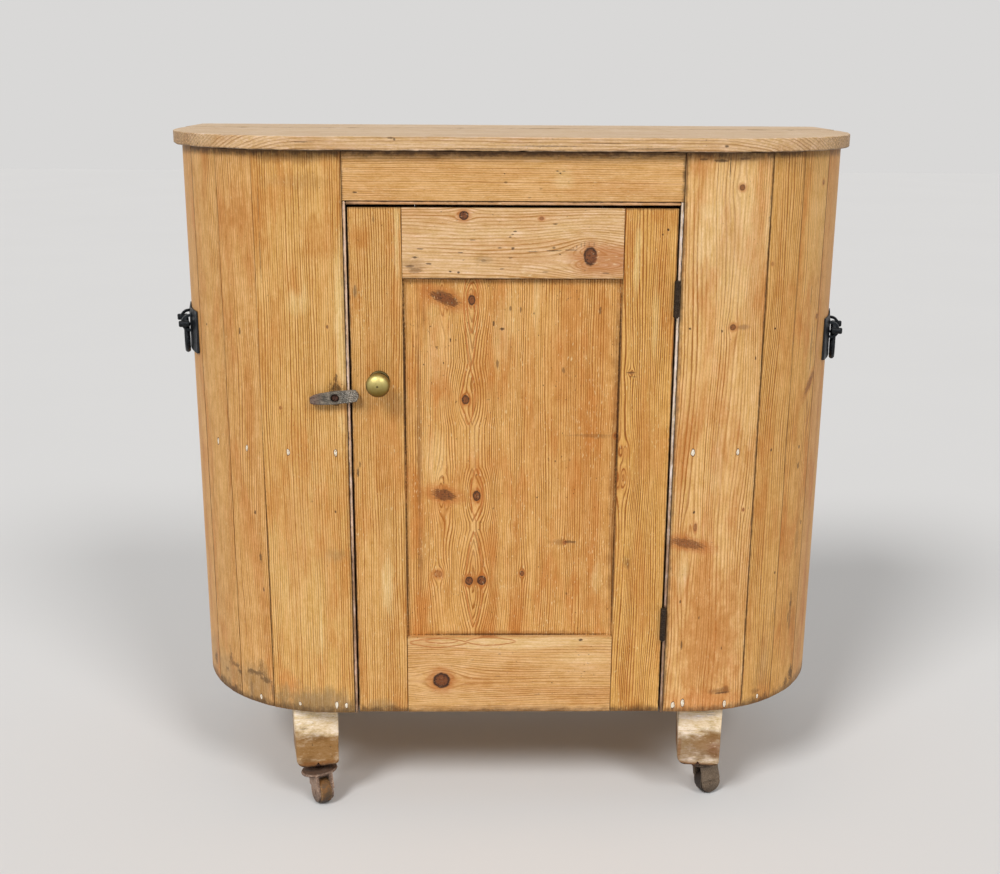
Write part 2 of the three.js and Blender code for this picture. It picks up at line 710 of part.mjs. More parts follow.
function castorFork(crownTop, crownReach) {
  const crownBottom = crownTop - crownThickness;
  const crownMiddle = (crownTop + crownBottom) / 2;
  const crown = turned([
    [0, crownBottom],
    [0.9, crownBottom],
    [0.98, crownMiddle - crownThickness * 0.25],
    [1, crownMiddle],
    [0.96, crownTop - crownThickness * 0.1],
    [0.9, crownTop],
    [0, crownTop],
  ]).scale(crownHalfDepth, crownReach, 1).translate(crownForward, 0, 0);

  const cheekShape = new THREE.Shape()
    .moveTo(strapBack, crownMiddle)
    .lineTo(castorTrail - cheekEndRadius, axleHeight)
    .absarc(castorTrail, axleHeight, cheekEndRadius, Math.PI, 2 * Math.PI)
    .lineTo(strapFront, crownMiddle);
  const strapLow = axleHeight + strapEnd;
  const share = (strapLow - axleHeight) / (crownMiddle - axleHeight);
  const strapShape = new THREE.Shape()
    .moveTo(strapBack, crownMiddle)
    .lineTo(castorTrail - cheekEndRadius + share * (strapBack - castorTrail + cheekEndRadius), strapLow)
    .lineTo(castorTrail + cheekEndRadius + share * (strapFront - castorTrail - cheekEndRadius), strapLow)
    .lineTo(strapFront, crownMiddle);
  const cheeks = [-1, 1].flatMap((side) => [[cheekShape, cheekThickness], [strapShape, strapThickness]]
    .map(([shape, thickness]) => {
      const middle = side * (cheekInside + thickness / 2);
      return facingFront(raised(shape, thickness, smallSegments / 2))
        .translate(0, middle + thickness / 2, 0);
    }));
  const outside = cheekInside + cheekThickness;
  const axle = facingFront(turned([
    [0, -outside - rivetThickness],
    [rivetRadius * 0.7, -outside - rivetThickness],
    [rivetRadius, -outside],
    [axleRadius, -outside + fit],
    [axleRadius, outside - fit],
    [rivetRadius, outside],
    [rivetRadius * 0.7, outside + rivetThickness],
    [0, outside + rivetThickness],
  ], smallSegments)).translate(castorTrail, 0, axleHeight);
  const bore = rod(castorPinRadius + boreClearance, crownBottom - crownThickness, 0);
  return cut(join(crown, ...cheeks, axle), bore);
}

function castorWheel() {
  const half = wheelWidth / 2;
  const bore = axleRadius + boreClearance;
  const shoulder = wheelRadius - 1.2;
  const profile = [[bore, -half], [shoulder, -half], [wheelRadius, -half * 0.6]];
  profile.push([wheelRadius, half * 0.6], [shoulder, half], [bore, half], [bore, -half]);
  return facingFront(turned(profile)).translate(castorTrail, 0, axleHeight);
}

function addFeet() {
  const frontY = footFrontInset + footDepth / 2;
  const places = [
    { word: 'front_left', side: -1, y: frontY },
    { word: 'front_right', side: 1, y: frontY },
    { word: 'rear_left', side: -1, y: bodyDepth - frontY },
    { word: 'rear_right', side: 1, y: bodyDepth - frontY },
  ];
  for (const { word, side, y } of places) {
    const inset = side < 0 ? footSideInset.left : footSideInset.right;
    const corner = new THREE.Group();
    corner.position.set(side * (halfWidth - inset), y, 0);
    cupboard.add(corner);
    const foot = addPiece(corner, `foot_${word}`, footBlock(), barePine);
    foot.rotation.z = degrees(footTwists[word]);
    const castor = new THREE.Group();
    castor.position.z = -footHeight;
    castor.rotation.z = degrees(castorTurns[word]);
    corner.add(castor);
    const crownTop = -crownDrops[word];
    addPiece(castor, `castor_plate_${word}`, castorPlate(crownTop), rustyIron);
    addPiece(castor, `castor_fork_${word}`, castorFork(crownTop, crownReaches[word]), rustyIron);
    addPiece(castor, `castor_wheel_${word}`, castorWheel(), rustyIron);
  }
}

addWalls();
addBack();
addLevelBoards();
addTop();
addFrontFrame();
addDoor();
addTurnButton();
addHinges();
addHandles();
addFeet();

// The knob reaches furthest forward, and the top's back edge furthest back
const frontmost = -knobProjection;
const backmost = bodyDepth + topBackOverhang;
cupboard.position.set(0, -(frontmost + backmost) / 2, footHeight + castorHeight);

export default cupboard;
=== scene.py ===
"""Looks of the bow-ended pine cupboard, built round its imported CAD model.

Board places are written as in the CAD source, in millimetres: X from the middle, Y back from the
front face and Z up from the bottom of the carcass. ORIGIN is where that point stands in the row
frame, which is in metres.
"""

import math
from functools import partial

import bmesh
import bpy
from mathutils import Matrix, Vector, noise


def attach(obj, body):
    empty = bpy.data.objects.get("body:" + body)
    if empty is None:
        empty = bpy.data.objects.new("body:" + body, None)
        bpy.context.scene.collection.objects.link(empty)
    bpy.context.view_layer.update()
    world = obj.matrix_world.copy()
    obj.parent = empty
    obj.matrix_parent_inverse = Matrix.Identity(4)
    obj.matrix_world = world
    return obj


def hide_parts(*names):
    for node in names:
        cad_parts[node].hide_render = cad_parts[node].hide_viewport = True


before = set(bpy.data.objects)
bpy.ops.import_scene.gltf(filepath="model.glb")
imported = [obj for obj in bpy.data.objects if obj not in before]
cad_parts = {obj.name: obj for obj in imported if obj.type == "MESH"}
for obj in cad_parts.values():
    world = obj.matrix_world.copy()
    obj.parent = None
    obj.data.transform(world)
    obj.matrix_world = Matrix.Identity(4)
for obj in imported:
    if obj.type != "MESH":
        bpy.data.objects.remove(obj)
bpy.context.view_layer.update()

MM = 0.001
ORIGIN = Vector((0, -0.191, 0.172))

# Sizes that the scene repeats from the CAD source, in millimetres
HALF_FLAT = 275
CORNER_RADIUS = 225
HALF_WIDTH = HALF_FLAT + CORNER_RADIUS
ARC_LENGTH = CORNER_RADIUS * math.pi / 2
CARCASS_LIFT = 172
KNOB_X, KNOB_Z = -193.7, 525.5
KNOB_RADIUS, KNOB_PROJECTION = 17.2, 40
BUTTON_X, BUTTON_Z = -257, 502
BUTTON_LIFT, BUTTON_THICK = 1.6, 10
PLATE_PEAK = 12
HINGE_X, LEAF_FACE = 228.5, 0.85
HINGE_HEIGHTS = (148, 645)
HINGE_SCREWS = ((5.5, -17), (10, 0), (5.5, 17))


def to_row(x, y, z):
    """A place given as in the CAD source, in the row frame."""
    return ORIGIN + Vector((x, y, z)) * MM


def srgb(red, green, blue):
    """A colour given as it looks on a screen, 0 to 255, in the shader's linear values."""
    values = []
    for part in (red, green, blue):
        part /= 255
        values.append(part / 12.92 if part <= 0.04045 else ((part + 0.055) / 1.055) ** 2.4)
    return (*values, 1.0)


# Camera, as fitted to the photograph
LENS = 46.54
CAMERA_PLACE = (-53.1, -1810.4, 948.8)
PITCH, YAW, ROLL = 0.2729, 0.0183, -0.0061


def add_camera():
    data = bpy.data.cameras.new("camera")
    data.lens = LENS
    data.sensor_width = 36
    data.clip_start, data.clip_end = 0.05, 60
    camera = bpy.data.objects.new("camera", data)
    level_part = math.cos(PITCH)
    forward = Vector((math.sin(YAW) * level_part, math.cos(YAW) * level_part, -math.sin(PITCH)))
    level = Vector((math.cos(YAW), -math.sin(YAW), 0))
    down = forward.cross(level)
    right = level * math.cos(ROLL) + down * math.sin(ROLL)
    down = down * math.cos(ROLL) - level * math.sin(ROLL)
    turn = Matrix((right, -down, -forward)).transposed().to_4x4()
    camera.matrix_world = Matrix.Translation(to_row(*CAMERA_PLACE)) @ turn
    bpy.context.scene.collection.objects.link(camera)
    bpy.context.scene.camera = camera


# Node trees written as sums
class Val:
    """A value inside a node tree."""

    def __init__(self, shader, socket):
        self.shader = shader
        self.socket = socket

    def __add__(self, other):
        return self.shader.maths("ADD", self, other)

    def __sub__(self, other):
        return self.shader.maths("SUBTRACT", self, other)

    def __rsub__(self, other):
        return self.shader.maths("SUBTRACT", other, self)

    def __mul__(self, other):
        return self.shader.maths("MULTIPLY", self, other)

    def __truediv__(self, other):
        return self.shader.maths("DIVIDE", self, other)


class Shader:
    """The node tree of a material, or of the world, with short ways to add its nodes."""

    def __init__(self, owner):
        owner.use_nodes = True
        self.owner = owner
        self.tree = owner.node_tree
        self.tree.nodes.clear()

    def node(self, kind, inputs, out=0, **settings):
        made = self.tree.nodes.new("ShaderNode" + kind)
        for key, value in settings.items():
            setattr(made, key, value)
        for key, value in inputs.items():
            if isinstance(value, Val):
                self.tree.links.new(value.socket, made.inputs[key])
            else:
                made.inputs[key].default_value = value
        return None if out is None else Val(self, made.outputs[out])

    def maths(self, operation, *values):
        return self.node("Math", dict(enumerate(values)), operation=operation)

    def join(self, operation, before, value):
        """A value joined to those before it, if there are any."""
        return value if before is None else self.maths(operation, before, value)

    def length(self, *parts):
        first, *others = [part * part for part in parts]
        for square in others:
            first = first + square
        return self.maths("SQRT", first)

    def step(self, value, low, high, top=1.0):
        """0 at low and top at high, smooth between; low may be the larger of the two."""
        inputs = {0: value, 1: low, 2: high, 3: 0.0, 4: top}
        return self.node("MapRange", inputs, interpolation_type="SMOOTHSTEP")

    def mix(self, factor, first, second, kind="MIX"):
        inputs = {0: factor, 6: first, 7: second}
        return self.node("Mix", inputs, out=2, data_type="RGBA", blend_type=kind)

    def wash(self, colour, value, low, high, top, tone):
        """The colour with a tone laid over it: none where the value is low, top where it is high."""
        return self.mix(self.step(value, low, high, top), colour, srgb(*tone))

    def noise(self, vector, detail=2.0, rough=0.5):
        inputs = {"Vector": vector, "Scale": 1.0, "Detail": detail, "Roughness": rough}
        return self.node("TexNoise", inputs)

    def cloud(self, vector, sizes, detail=2.0, rough=0.5, shift=(0, 0, 0)):
        """A noise whose blots have the three sizes, moved by the shift."""
        inputs = {0: vector, 1: tuple(1 / size for size in sizes), 2: shift}
        scaled = self.node("VectorMath", inputs, operation="MULTIPLY_ADD")
        return self.noise(scaled, detail, rough)

    def vector(self, *parts):
        return self.node("CombineXYZ", dict(enumerate(parts)))

    def bright(self, colour, factor):
        """A colour, or a vector, times a factor."""
        return self.node("VectorMath", {0: colour, 3: factor}, operation="SCALE")

    def place(self):
        """The place on the piece in the row frame, in millimetres."""
        return self.bright(self.node("TexCoord", {}, out=3), 1000.0)

    def grain(self):
        """The grain attribute of the mesh."""
        return self.node("Attribute", {}, out=1, attribute_name="grain")

    def worn(self):
        """The worn attribute of the mesh."""
        return self.node("Attribute", {}, out=2, attribute_name="worn")

    def parts(self, vector):
        split = self.node("SeparateXYZ", {0: vector}).socket.node
        return [Val(self, output) for output in split.outputs]

    def finish(self, colour, rough, height=None, depth=0.4, **more):
        """Ends the tree in a surface. The height is in parts of the depth, in millimetres."""
        inputs = {"Base Color": colour, "Roughness": rough, **more}
        if height is not None:
            bump = {"Strength": 1.0, "Distance": depth * MM, "Height": height}
            inputs["Normal"] = self.node("Bump", bump)
        self.node("OutputMaterial", {0: self.node("BsdfPrincipled", inputs)}, out=None)
        return self.owner


def new_shader(name):
    return Shader(bpy.data.materials.new(name))


def tones_of(early, late, stain):
    """Pale early wood, darker late wood, and the stain that pools in places."""
    return {"early": srgb(*early), "late": srgb(*late), "stain": srgb(*stain)}


HONEY = tones_of((222, 170, 104), (160, 100, 34), (190, 112, 38))
DEEP = tones_of((214, 160, 94), (156, 94, 28), (184, 102, 30))
PALE = tones_of((230, 190, 138), (180, 126, 62), (204, 138, 72))
BARE = tones_of((232, 208, 172), (204, 168, 122), (206, 164, 114))
INSIDE = tones_of((205, 166, 116), (158, 112, 66), (160, 108, 60))
TOP = tones_of((212, 178, 134), (166, 124, 80), (176, 126, 76))
# How fast red, green and blue fade where old pine is darker
DARKER = (0.76, 1.12, 2.3)
# The dark tone of dents and old soiling, also used for painted shade along some edges and round the turn
# button
DIRT_AND_SHADE = srgb(62, 38, 18)
KNOT_DARK = srgb(46, 24, 12)
KNOT_RED = srgb(126, 72, 36)
KNOT_HALO = srgb(184, 106, 44)
PATCHES = dict(
    amber=srgb(186, 112, 38), red=srgb(204, 122, 58), pale=srgb(240, 206, 150), brown=srgb(130, 82, 38),
    grey=srgb(158, 126, 86), tan=srgb(112, 76, 36), dun=srgb(126, 94, 62), rust=srgb(128, 84, 56),
    ochre=srgb(140, 97, 44),
)


def knot_field(s, a, l, knots, wobble):
    """How the knots push the grain aside, how far into a knot a place is, and its depth of colour.
    The colour of a slanted knot frays along its length."""
    push = nearest = depth = None
    for across, along, radius, stretch, slant, dark in knots:
        u, v = a - across, l - along
        reach = (radius * 1.25) ** 2
        flow = s.maths("MULTIPLY_ADD", u, u, 0.3 * reach) + v * v * (1 / (1.7 * max(stretch, 0.8)) ** 2)
        shift = u * reach / flow
        push = s.join("ADD", push, shift)
        turn = math.radians(slant)
        frayed = wobble * 0.3
        if slant:
            u, v = u * math.cos(turn) + v * math.sin(turn), v * math.cos(turn) - u * math.sin(turn)
            strands = s.vector(u * (1 / 1.1), v * (1 / 8), across)
            frayed = (s.noise(strands, 2.0) - 0.5) * 1.5
        v = v * (1 / stretch)
        inside = s.length(u, v) * (1 / radius) + frayed
        nearest = s.join("MINIMUM", nearest, inside)
        depth = s.join("MAXIMUM", depth, s.step(inside, 1.1, 0.6 if slant else 0.84, dark))
    return push, nearest, depth


def spot_field(s, a, l, spots, edge):
    """The strongest of several spots at a place, with the edges broken up by a noise."""
    field = None
    for across, along, width, length, strong in spots:
        u, v = (a - across) * (1 / width), (l - along) * (1 / length)
        spot = s.step(s.length(u, v) + edge, 1.25, 0.3, strong)
        field = s.join("MAXIMUM", field, spot)
    return field


def pine(
    name,
    limits,
    tones=HONEY, spacing=4.6, tilt=10, contrast=0.9, knots=(), marks=(), lenses=(), patches=None,
    heart=None, stain=0.5, edge_dirt_and_shade=None, wander=20, specks=0.4, flecks=0.35, mottle=1.0, age=0.0,
    tint=(1, 1, 1), ends=0.0, rim=None,
):
    """Old pine. The grain attribute of a mesh gives, in millimetres, the place across the grain,
    along it and into the board.

    knots: (across, along, radius, stretch, slant, depth of colour)
    marks: (across, along, half width, half length, strength), dark dents and smears, and in places
    painted shade, which may be ended by (depth, half depth) into the board
    lenses: (across, along, half width, length below, length above), pointed ovals round knots
    patches: for each kind of tone, (across, along, half width, half length, strength)
    heart: across place of the heart line, round which the rings are mirrored
    soil: (width, strength) of a dark band along an edge, named a0, a1, l0, l1, d0 or d1 after the limits:
    old soiling on some edges, painted shade on others, as under the top
    ends: how dark the end grain at the left and right ends is
    rim: the colour that the faces standing upright are multiplied by
    """
    s = new_shader(name)
    grain = s.grain()
    a, l, d = s.parts(grain)
    seed = sum(ord(c) * (i + 3) for i, c in enumerate(name)) % 89
    own_shift = (seed * 1.37, seed * 0.71, seed * 2.11)

    def cloudy(sizes, detail=2.0, rough=0.5, shift=own_shift):
        return s.cloud(grain, sizes, detail, rough, shift)

    slow = cloudy((75, 430, 75), 1.0) - 0.5
    quick = cloudy((13, 90, 13), 2.0) - 0.5
    side = a + slow * (wander * 1.5) + quick * 3.6

    wobble = cloudy((2.8, 4, 2.8), 2.0) - 0.5
    nearest = depth = None
    if knots:
        push, nearest, depth = knot_field(s, a, l, knots, wobble)
        side = side - push

    turn = math.radians(tilt)
    ring = side * math.cos(turn) + d * math.sin(turn)
    line = None
    if heart is not None:
        ring = s.maths("ABSOLUTE", ring - heart * math.cos(turn))
    for across, along, width, below, above in lenses:
        reach = l - along
        half = s.maths("GREATER_THAN", reach, 0.0) * (above - below) + below
        part = reach / half
        swell = s.maths("MAXIMUM", 1.0 - part * part, 0.0) * width
        near = s.maths("ABSOLUTE", a - across)
        if heart is not None:
            ring = ring - swell * s.maths("EXPONENT", near * -0.035)
        off_line = s.maths("ABSOLUTE", near - swell + wobble * 1.5)
        line = s.join("MAXIMUM", line, s.step(off_line, 1.5, 0.3) * s.step(swell, 0.3, 1.4))

    vary = s.noise(s.vector(ring * (1 / 26), seed, 0.0), 1.0) - 0.5
    count = ring * (1 / spacing) + vary * 2.6
    year = s.maths("FLOOR", count)
    part = count - year
    strength = s.node("TexWhiteNoise", {"W": year + seed}, noise_dimensions="1D")
    late = s.step(part, 0.38, 0.84) * s.step(part, 1.0, 0.88) * (strength * 0.8 + 0.5)
    faded = s.step(cloudy((30, 190, 30), 3.0), 0.3, 0.62)
    late = late * (faded * 0.6 + 0.4) * contrast

    fibre = cloudy((1.5, 24, 1.5), 3.0, 0.65)
    grit = cloudy((1.7, 3.6, 1.7), 3.0, 0.6)
    streak = cloudy((5, 120, 5), 2.0)
    cloud = cloudy((13, 24, 13), 4.0, 0.62)

    colour = s.mix(late, tones["early"], tones["late"])
    pool = cloudy((30, 130, 30), 4.0, 0.6)
    colour = s.mix(s.step(pool, 0.43, 0.7, stain), colour, tones["stain"])
    bleached = cloudy((40, 110, 40), 4.0, 0.6, shift=(seed, seed, 3))
    colour = s.mix(s.step(bleached, 0.52, 0.78, 0.5), colour, tones["early"])
    broken = (cloud + pool - 1.0) * 1.6
    for kind, spots in (patches or {}).items():
        colour = s.mix(spot_field(s, a, l, spots, broken), colour, PATCHES[kind])
    if line is not None:
        colour = s.mix(line * 0.75, colour, KNOT_HALO)
        late = s.maths("MAXIMUM", late, line)

    factor = fibre * 0.9 + streak * 0.4 + grit * 0.44 + cloud * (0.42 * mottle)
    factor = factor + (1.012 - 0.87 - 0.21 * mottle)
    warm = s.vector(*(s.maths("POWER", factor, power) for power in DARKER))
    colour = s.node("VectorMath", {0: colour, 1: warm}, operation="MULTIPLY")
    height = late * 0.5 + fibre * 0.6 + cloud * 0.3

    if knots:
        halo = s.step(nearest + cloud - 0.5, 2.2, 0.9) * depth_of_halo(knots)
        colour = s.mix(halo, colour, KNOT_HALO)
        core = cloudy((2.6, 3.4, 2.6), 3.0, 0.6, shift=(seed, 5, seed))
        inner = s.maths("MAXIMUM", s.step(core, 0.5, 0.66), s.step(nearest, 0.5, 0.86, 0.95))
        colour = s.mix(depth, colour, s.mix(inner, KNOT_RED, KNOT_DARK))
        height = height - depth * 0.5

    # Small dents, dark pores and pale scratches
    rare = cloudy((48, 60, 48), 2.0)
    dots = cloudy((2.8, 5.0, 2.8), 2.0, shift=(seed, 1, seed))
    dot = s.step(dots + rare * 0.26, 0.84, 0.92, specks)
    if flecks:
        scratch = cloudy((1.6, 8, 1.6), 2.0, shift=(2, seed, seed))
        fleck = s.step(scratch - rare * 0.22, 0.54, 0.64, flecks)
        colour = s.mix(fleck, colour, srgb(242, 216, 172))
    for across, along, width, length, dark, *deep in marks:
        ways = [(a - across) * (1 / width), (l - along) * (1 / length)]
        if deep:
            ways.append((d - deep[0]) * (1 / deep[1]))
        inside = s.length(*ways) + wobble * 1.3
        low, high = 1.2, 0.5
        if width > 4 and length > 4:
            inside = inside + (cloud - 0.5) * 3.4 + (grit - 0.5) * 2.2
            low, high = 1.25, 0.15
        dot = s.maths("MAXIMUM", dot, s.step(inside, low, high, dark))

    # Dark bands along the edges of the board: old soiling on some edges, painted shade on others, as
    # under the top
    a0, a1, l0, l1, d0, d1 = limits
    dirt_and_shade_band = None
    blotch = cloudy((9, 15, 9), 5.0, 0.7, shift=(3, seed, 1))
    ways = {"a0": a - a0, "a1": a1 - a, "l0": l - l0, "l1": l1 - l, "d0": d - d0, "d1": d1 - d}
    for edge, (width, strong) in (edge_dirt_and_shade or {}).items():
        reach = ways[edge] * (1 / width) + (blotch - 0.5) * 2.2
        dirt_and_shade_band = s.join("MAXIMUM", dirt_and_shade_band, s.step(reach, 1.1, 0.0, strong))
    if dirt_and_shade_band is not None:
        colour = s.mix(dirt_and_shade_band, colour, DIRT_AND_SHADE)
    colour = s.mix(dot, colour, DIRT_AND_SHADE)
    if age:
        dust = cloudy((60, 90, 60), 5.0, 0.6, shift=(seed, 2, 2))
        colour = s.wash(colour, dust, 0.35, 0.7, age, (150, 128, 104))
    if ends:
        across_end = s.parts(s.node("TexCoord", {}, out=1))[0]
        end = s.step(s.maths("ABSOLUTE", across_end), 0.45, 0.95, ends)
        rasp = s.noise(s.vector((a + d) * (1 / 1.6), (d - a) * (1 / 5), seed), 3.0, 0.7)
        colour = s.mix(end * s.step(rasp, 0.62, 0.38), colour, srgb(92, 62, 34))
        height = height + end * rasp * 2.0
    # The faces standing upright, such as the front edge of the top, take the rim colour
    if rim is not None:
        level = s.maths("ABSOLUTE", s.parts(s.node("TexCoord", {}, out=1))[2])
        edge_tone = s.mix(1.0, colour, (*rim, 1), kind="MULTIPLY")
        colour = s.mix(s.step(level, 0.85, 0.3), colour, edge_tone)
    if tint != (1, 1, 1):
        colour = s.mix(1.0, colour, (*tint, 1), kind="MULTIPLY")
    height = height - dot * 2.0
    rough = fibre * 0.24 + 0.46 + late * -0.08
    return s.finish(colour, rough, height, 0.35, **{"Specular IOR Level": 0.36})


def depth_of_halo(knots):
    return 0.62 if any(knot[5] > 0.7 for knot in knots) else 0.4


# Each iron: tone, tone where rubbing wore it, rust, its share, roughness, metal, how much the tone varies
# in small spots, shine, and how much painted shade darkens it near the floor
IRONS = {
    "black_iron": ((14, 16, 18), (58, 64, 70), (24, 22, 22), 0.5, 0.38, 0.4, 0.3, 0.22, 0),
    "dark_iron": ((40, 31, 24), (84, 70, 56), (56, 40, 28), 0.5, 0.5, 0.3, 0.3, 0.2, 0),
    # pin_iron is paler than dark_iron partly to stand for the light on the pin's top: a painted highlight
    "pin_iron": ((62, 54, 44), (150, 140, 122), (58, 44, 34), 0.5, 0.45, 0.4, 0.3, 0.3, 0),
    "rusty_iron": ((78, 50, 40), (128, 92, 72), (112, 68, 44), 0.7, 0.7, 0.2, 0.5, 0.5, 0),
    "worn_iron": ((104, 82, 68), (182, 154, 134), (98, 66, 44), 0.75, 0.55, 0.2, 0.5, 0.5, 0.6),
    "dark_fork": ((86, 70, 54), (136, 118, 98), (66, 48, 34), 0.7, 0.6, 0.2, 0.5, 0.5, 0.5),
    "tan_wheel": ((92, 68, 42), (176, 138, 92), (146, 98, 46), 0.75, 0.5, 0.1, 0.9, 0.5, 0.75),
    "dark_wheel": ((46, 38, 32), (92, 80, 68), (66, 50, 38), 0.5, 0.6, 0.2, 0.5, 0.5, 0.6),
}


def iron_material(name):
    """Old iron, from its row of the table."""
    base, edge_tone, rust, amount, rough, metal, coarse, shine, floor_shade = IRONS[name]
    s = new_shader(name)
    place = s.place()
    grit = s.cloud(place, (1.6, 1.6, 1.6), 4.0, 0.6)
    blotch = s.cloud(place, (9, 9, 9), 4.0, 0.6, shift=(3, 1, 7))
    colour = s.mix(s.step(blotch, 0.38, 0.66, amount), srgb(*base), srgb(*rust))
    colour = s.wash(colour, s.worn() * 0.55 + grit * 0.9, 0.62, 0.95, 0.8, edge_tone)
    colour = s.bright(colour, grit * coarse + (1.0 - coarse / 2))
    # Painted shade: the castor parts darken towards the floor
    if floor_shade:
        low = s.step(s.parts(place)[2] + blotch * 16, 30, 12, floor_shade)
        colour = s.mix(low, colour, srgb(40, 31, 25))
    rust_rough = s.step(blotch, 0.38, 0.66) * (amount * 0.35) + (grit * 0.2 + rough - 0.1)
    more = {"Metallic": metal, "Specular IOR Level": shine}
    return s.finish(colour, rust_rough, grit + blotch, coarse, **more)


def brass_material():
    s = new_shader("old_brass")
    place = s.place()
    cloud = s.cloud(place, (9, 9, 9), 4.0, 0.6)
    scratch = s.cloud(place, (0.7, 5, 0.7), 3.0, 0.6)
    high = s.parts(place)[2] - (KNOB_Z + CARCASS_LIFT)
    # Painted highlight and reflection: the knob is pale above its middle and dark olive below it
    painted_highlight = s.step(high + cloud * 8, -9, 12)
    colour = s.mix(painted_highlight, srgb(122, 98, 40), srgb(200, 184, 116))
    colour = s.wash(colour, cloud, 0.45, 0.75, 0.6, (136, 116, 58))
    # Painted shade: the knob grows darker towards its rim
    outward = s.length(s.parts(place)[0] - KNOB_X, high)
    colour = s.wash(colour, outward + cloud * 3, 14, 19, 0.65, (104, 82, 36))
    # The faces marked worn are dark: tarnish in the hole and round the neck, and the whole rose, whose
    # dark tone is partly painted shade behind the knob
    colour = s.mix(s.worn(), colour, srgb(88, 76, 44))
    rough = scratch * 0.16 + cloud * 0.12 + 0.3
    return s.finish(colour, rough, scratch, 0.05, Metallic=0.85)


def button_material():
    s = new_shader("weathered_wood")
    grain = s.grain()
    a, l, _ = s.parts(grain)
    fibre = s.cloud(grain, (1.0, 14, 1.0), 4.0, 0.65)
    blotch = s.cloud(grain, (7, 11, 7), 4.0, 0.6, shift=(4, 2, 1))
    speck = s.cloud(grain, (1.1, 1.6, 1.1), 2.0, 0.6, shift=(1, 7, 3))
    colour = s.mix(s.step(fibre, 0.34, 0.66), srgb(60, 56, 50), srgb(148, 138, 122))
    colour = s.wash(colour, blotch, 0.52, 0.72, 0.6, (176, 160, 142))
    walk = l - BUTTON_X
    colour = s.wash(colour, walk + blotch * 12, -8, -26, 0.6, (126, 92, 78))
    colour = s.wash(colour, s.maths("ABSOLUTE", walk - 13), 8, 2, 0.6, (56, 56, 52))
    pale = s.step(speck + s.step(walk, -12, 22, 0.16), 0.66, 0.78, 0.8)
    colour = s.mix(pale, colour, srgb(212, 202, 190))
    colour = s.wash(colour, speck, 0.44, 0.34, 0.75, (38, 34, 34))
    near = s.length(a - BUTTON_Z, walk)
    colour = s.wash(colour, near + blotch * 4, 11, 6, 0.85, (52, 40, 32))
    return s.finish(colour, 0.8, fibre + blotch + speck, 1.2)


def filler_material():
    s = new_shader("nail_filler")
    place = s.place()
    grit = s.cloud(place, (1.2, 1.2, 1.8), 4.0, 0.6)
    colour = s.mix(s.step(grit, 0.36, 0.56), srgb(204, 168, 122), srgb(244, 236, 218))
    colour = s.wash(colour, s.worn(), 0.3, 0.8, 1.0, (96, 62, 34))
    return s.finish(colour, 0.8, grit, 0.3)


# Meshes: points closer than WELD are one, and faces that differ by less than FLAT degrees too.
# Edges sharper than SHARP degrees are rounded. FACE_WEAR is how deep open faces are worn, and
# edges chip where a noise passes CHIP_FROM.
WELD, FACE_WEAR = 0.02, 0.12
FLAT, SHARP = 0.8, 35
CHIP_FROM = 0.32


def in_source(co):
    """A place of the row frame as the CAD source gives it."""
    return (co - ORIGIN) / MM


def wall_grain(x, y, z):
    """Across (round the wall), along (up) and depth of a place on the wall."""
    side = -1 if x < 0 else 1
    reach = abs(x)
    if reach <= HALF_FLAT:
        return side * reach, z, y
    if y >= CORNER_RADIUS:
        return side * (HALF_FLAT + ARC_LENGTH + y - CORNER_RADIUS), z, HALF_WIDTH - reach
    angle = math.atan2(reach - HALF_FLAT, CORNER_RADIUS - y)
    radius = math.hypot(reach - HALF_FLAT, CORNER_RADIUS - y)
    return side * (HALF_FLAT + CORNER_RADIUS * angle), z, CORNER_RADIUS - radius


def upright_grain(x, y, z):
    return x, z, y


def level_grain(x, y, z):
    return z, x, y


def plan_grain(x, y, z):
    return y, x, z


def from_node(node):
    """The mesh of a CAD node, welded, with its flat faces made whole."""
    bm = bmesh.new()
    bm.from_mesh(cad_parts[node].data)
    bmesh.ops.remove_doubles(bm, verts=bm.verts, dist=WELD * MM)
    bmesh.ops.dissolve_limit(bm, angle_limit=math.radians(FLAT), verts=bm.verts, edges=bm.edges)
    return bm


def soften(bm, arris, segments=2, shortest=5.0):
    """Rounds the sharp edges, and marks the faces of the rounding."""
    layer = bm.faces.layers.int.new("arris")
    sharp = [
        edge
        for edge in bm.edges
        if len(edge.link_faces) == 2
        and edge.calc_face_angle(0) > math.radians(SHARP)
        and edge.calc_length() > shortest * MM
    ]
    made = bmesh.ops.bevel(
        bm,
        geom=sharp, offset=arris * MM, offset_type="OFFSET", segments=segments, profile=0.6,
        affect="EDGES", clamp_overlap=True,
    )
    for face in made["faces"]:
        face[layer] = 1


def slice_up(bm, axis, step):
    """Cuts the faces across an axis every so many millimetres."""
    places = [v.co[axis] for v in bm.verts]
    low, high = min(places), max(places)
    count = max(2, round((high - low) / (step * MM)))
    normal = Vector((0, 0, 0))
    normal[axis] = 1
    for cut in range(1, count):
        middle = Vector((0, 0, 0))
        middle[axis] = low + (high - low) * cut / count
        geometry = bm.verts[:] + bm.edges[:] + bm.faces[:]
        bmesh.ops.bisect_plane(bm, geom=geometry, dist=1e-6, plane_co=middle, plane_no=normal)


def wornness(bm):
    """How much of each point belongs to a rounded edge, 0 to 1."""
    layer = bm.faces.layers.int.get("arris")
    if layer is None:
        return [0.0] * len(bm.verts)
    worn = []
    for vert in bm.verts:
        faces = vert.link_faces
        worn.append(sum(face[layer] for face in faces) / max(1, len(faces)))
    return worn


def press_in(bm, depths):
    """Moves each point inwards by its depth, in millimetres."""
    moves = [vert.normal * (-depth * MM) for vert, depth in zip(bm.verts, depths)]
    for vert, move in zip(bm.verts, moves):
        vert.co += move


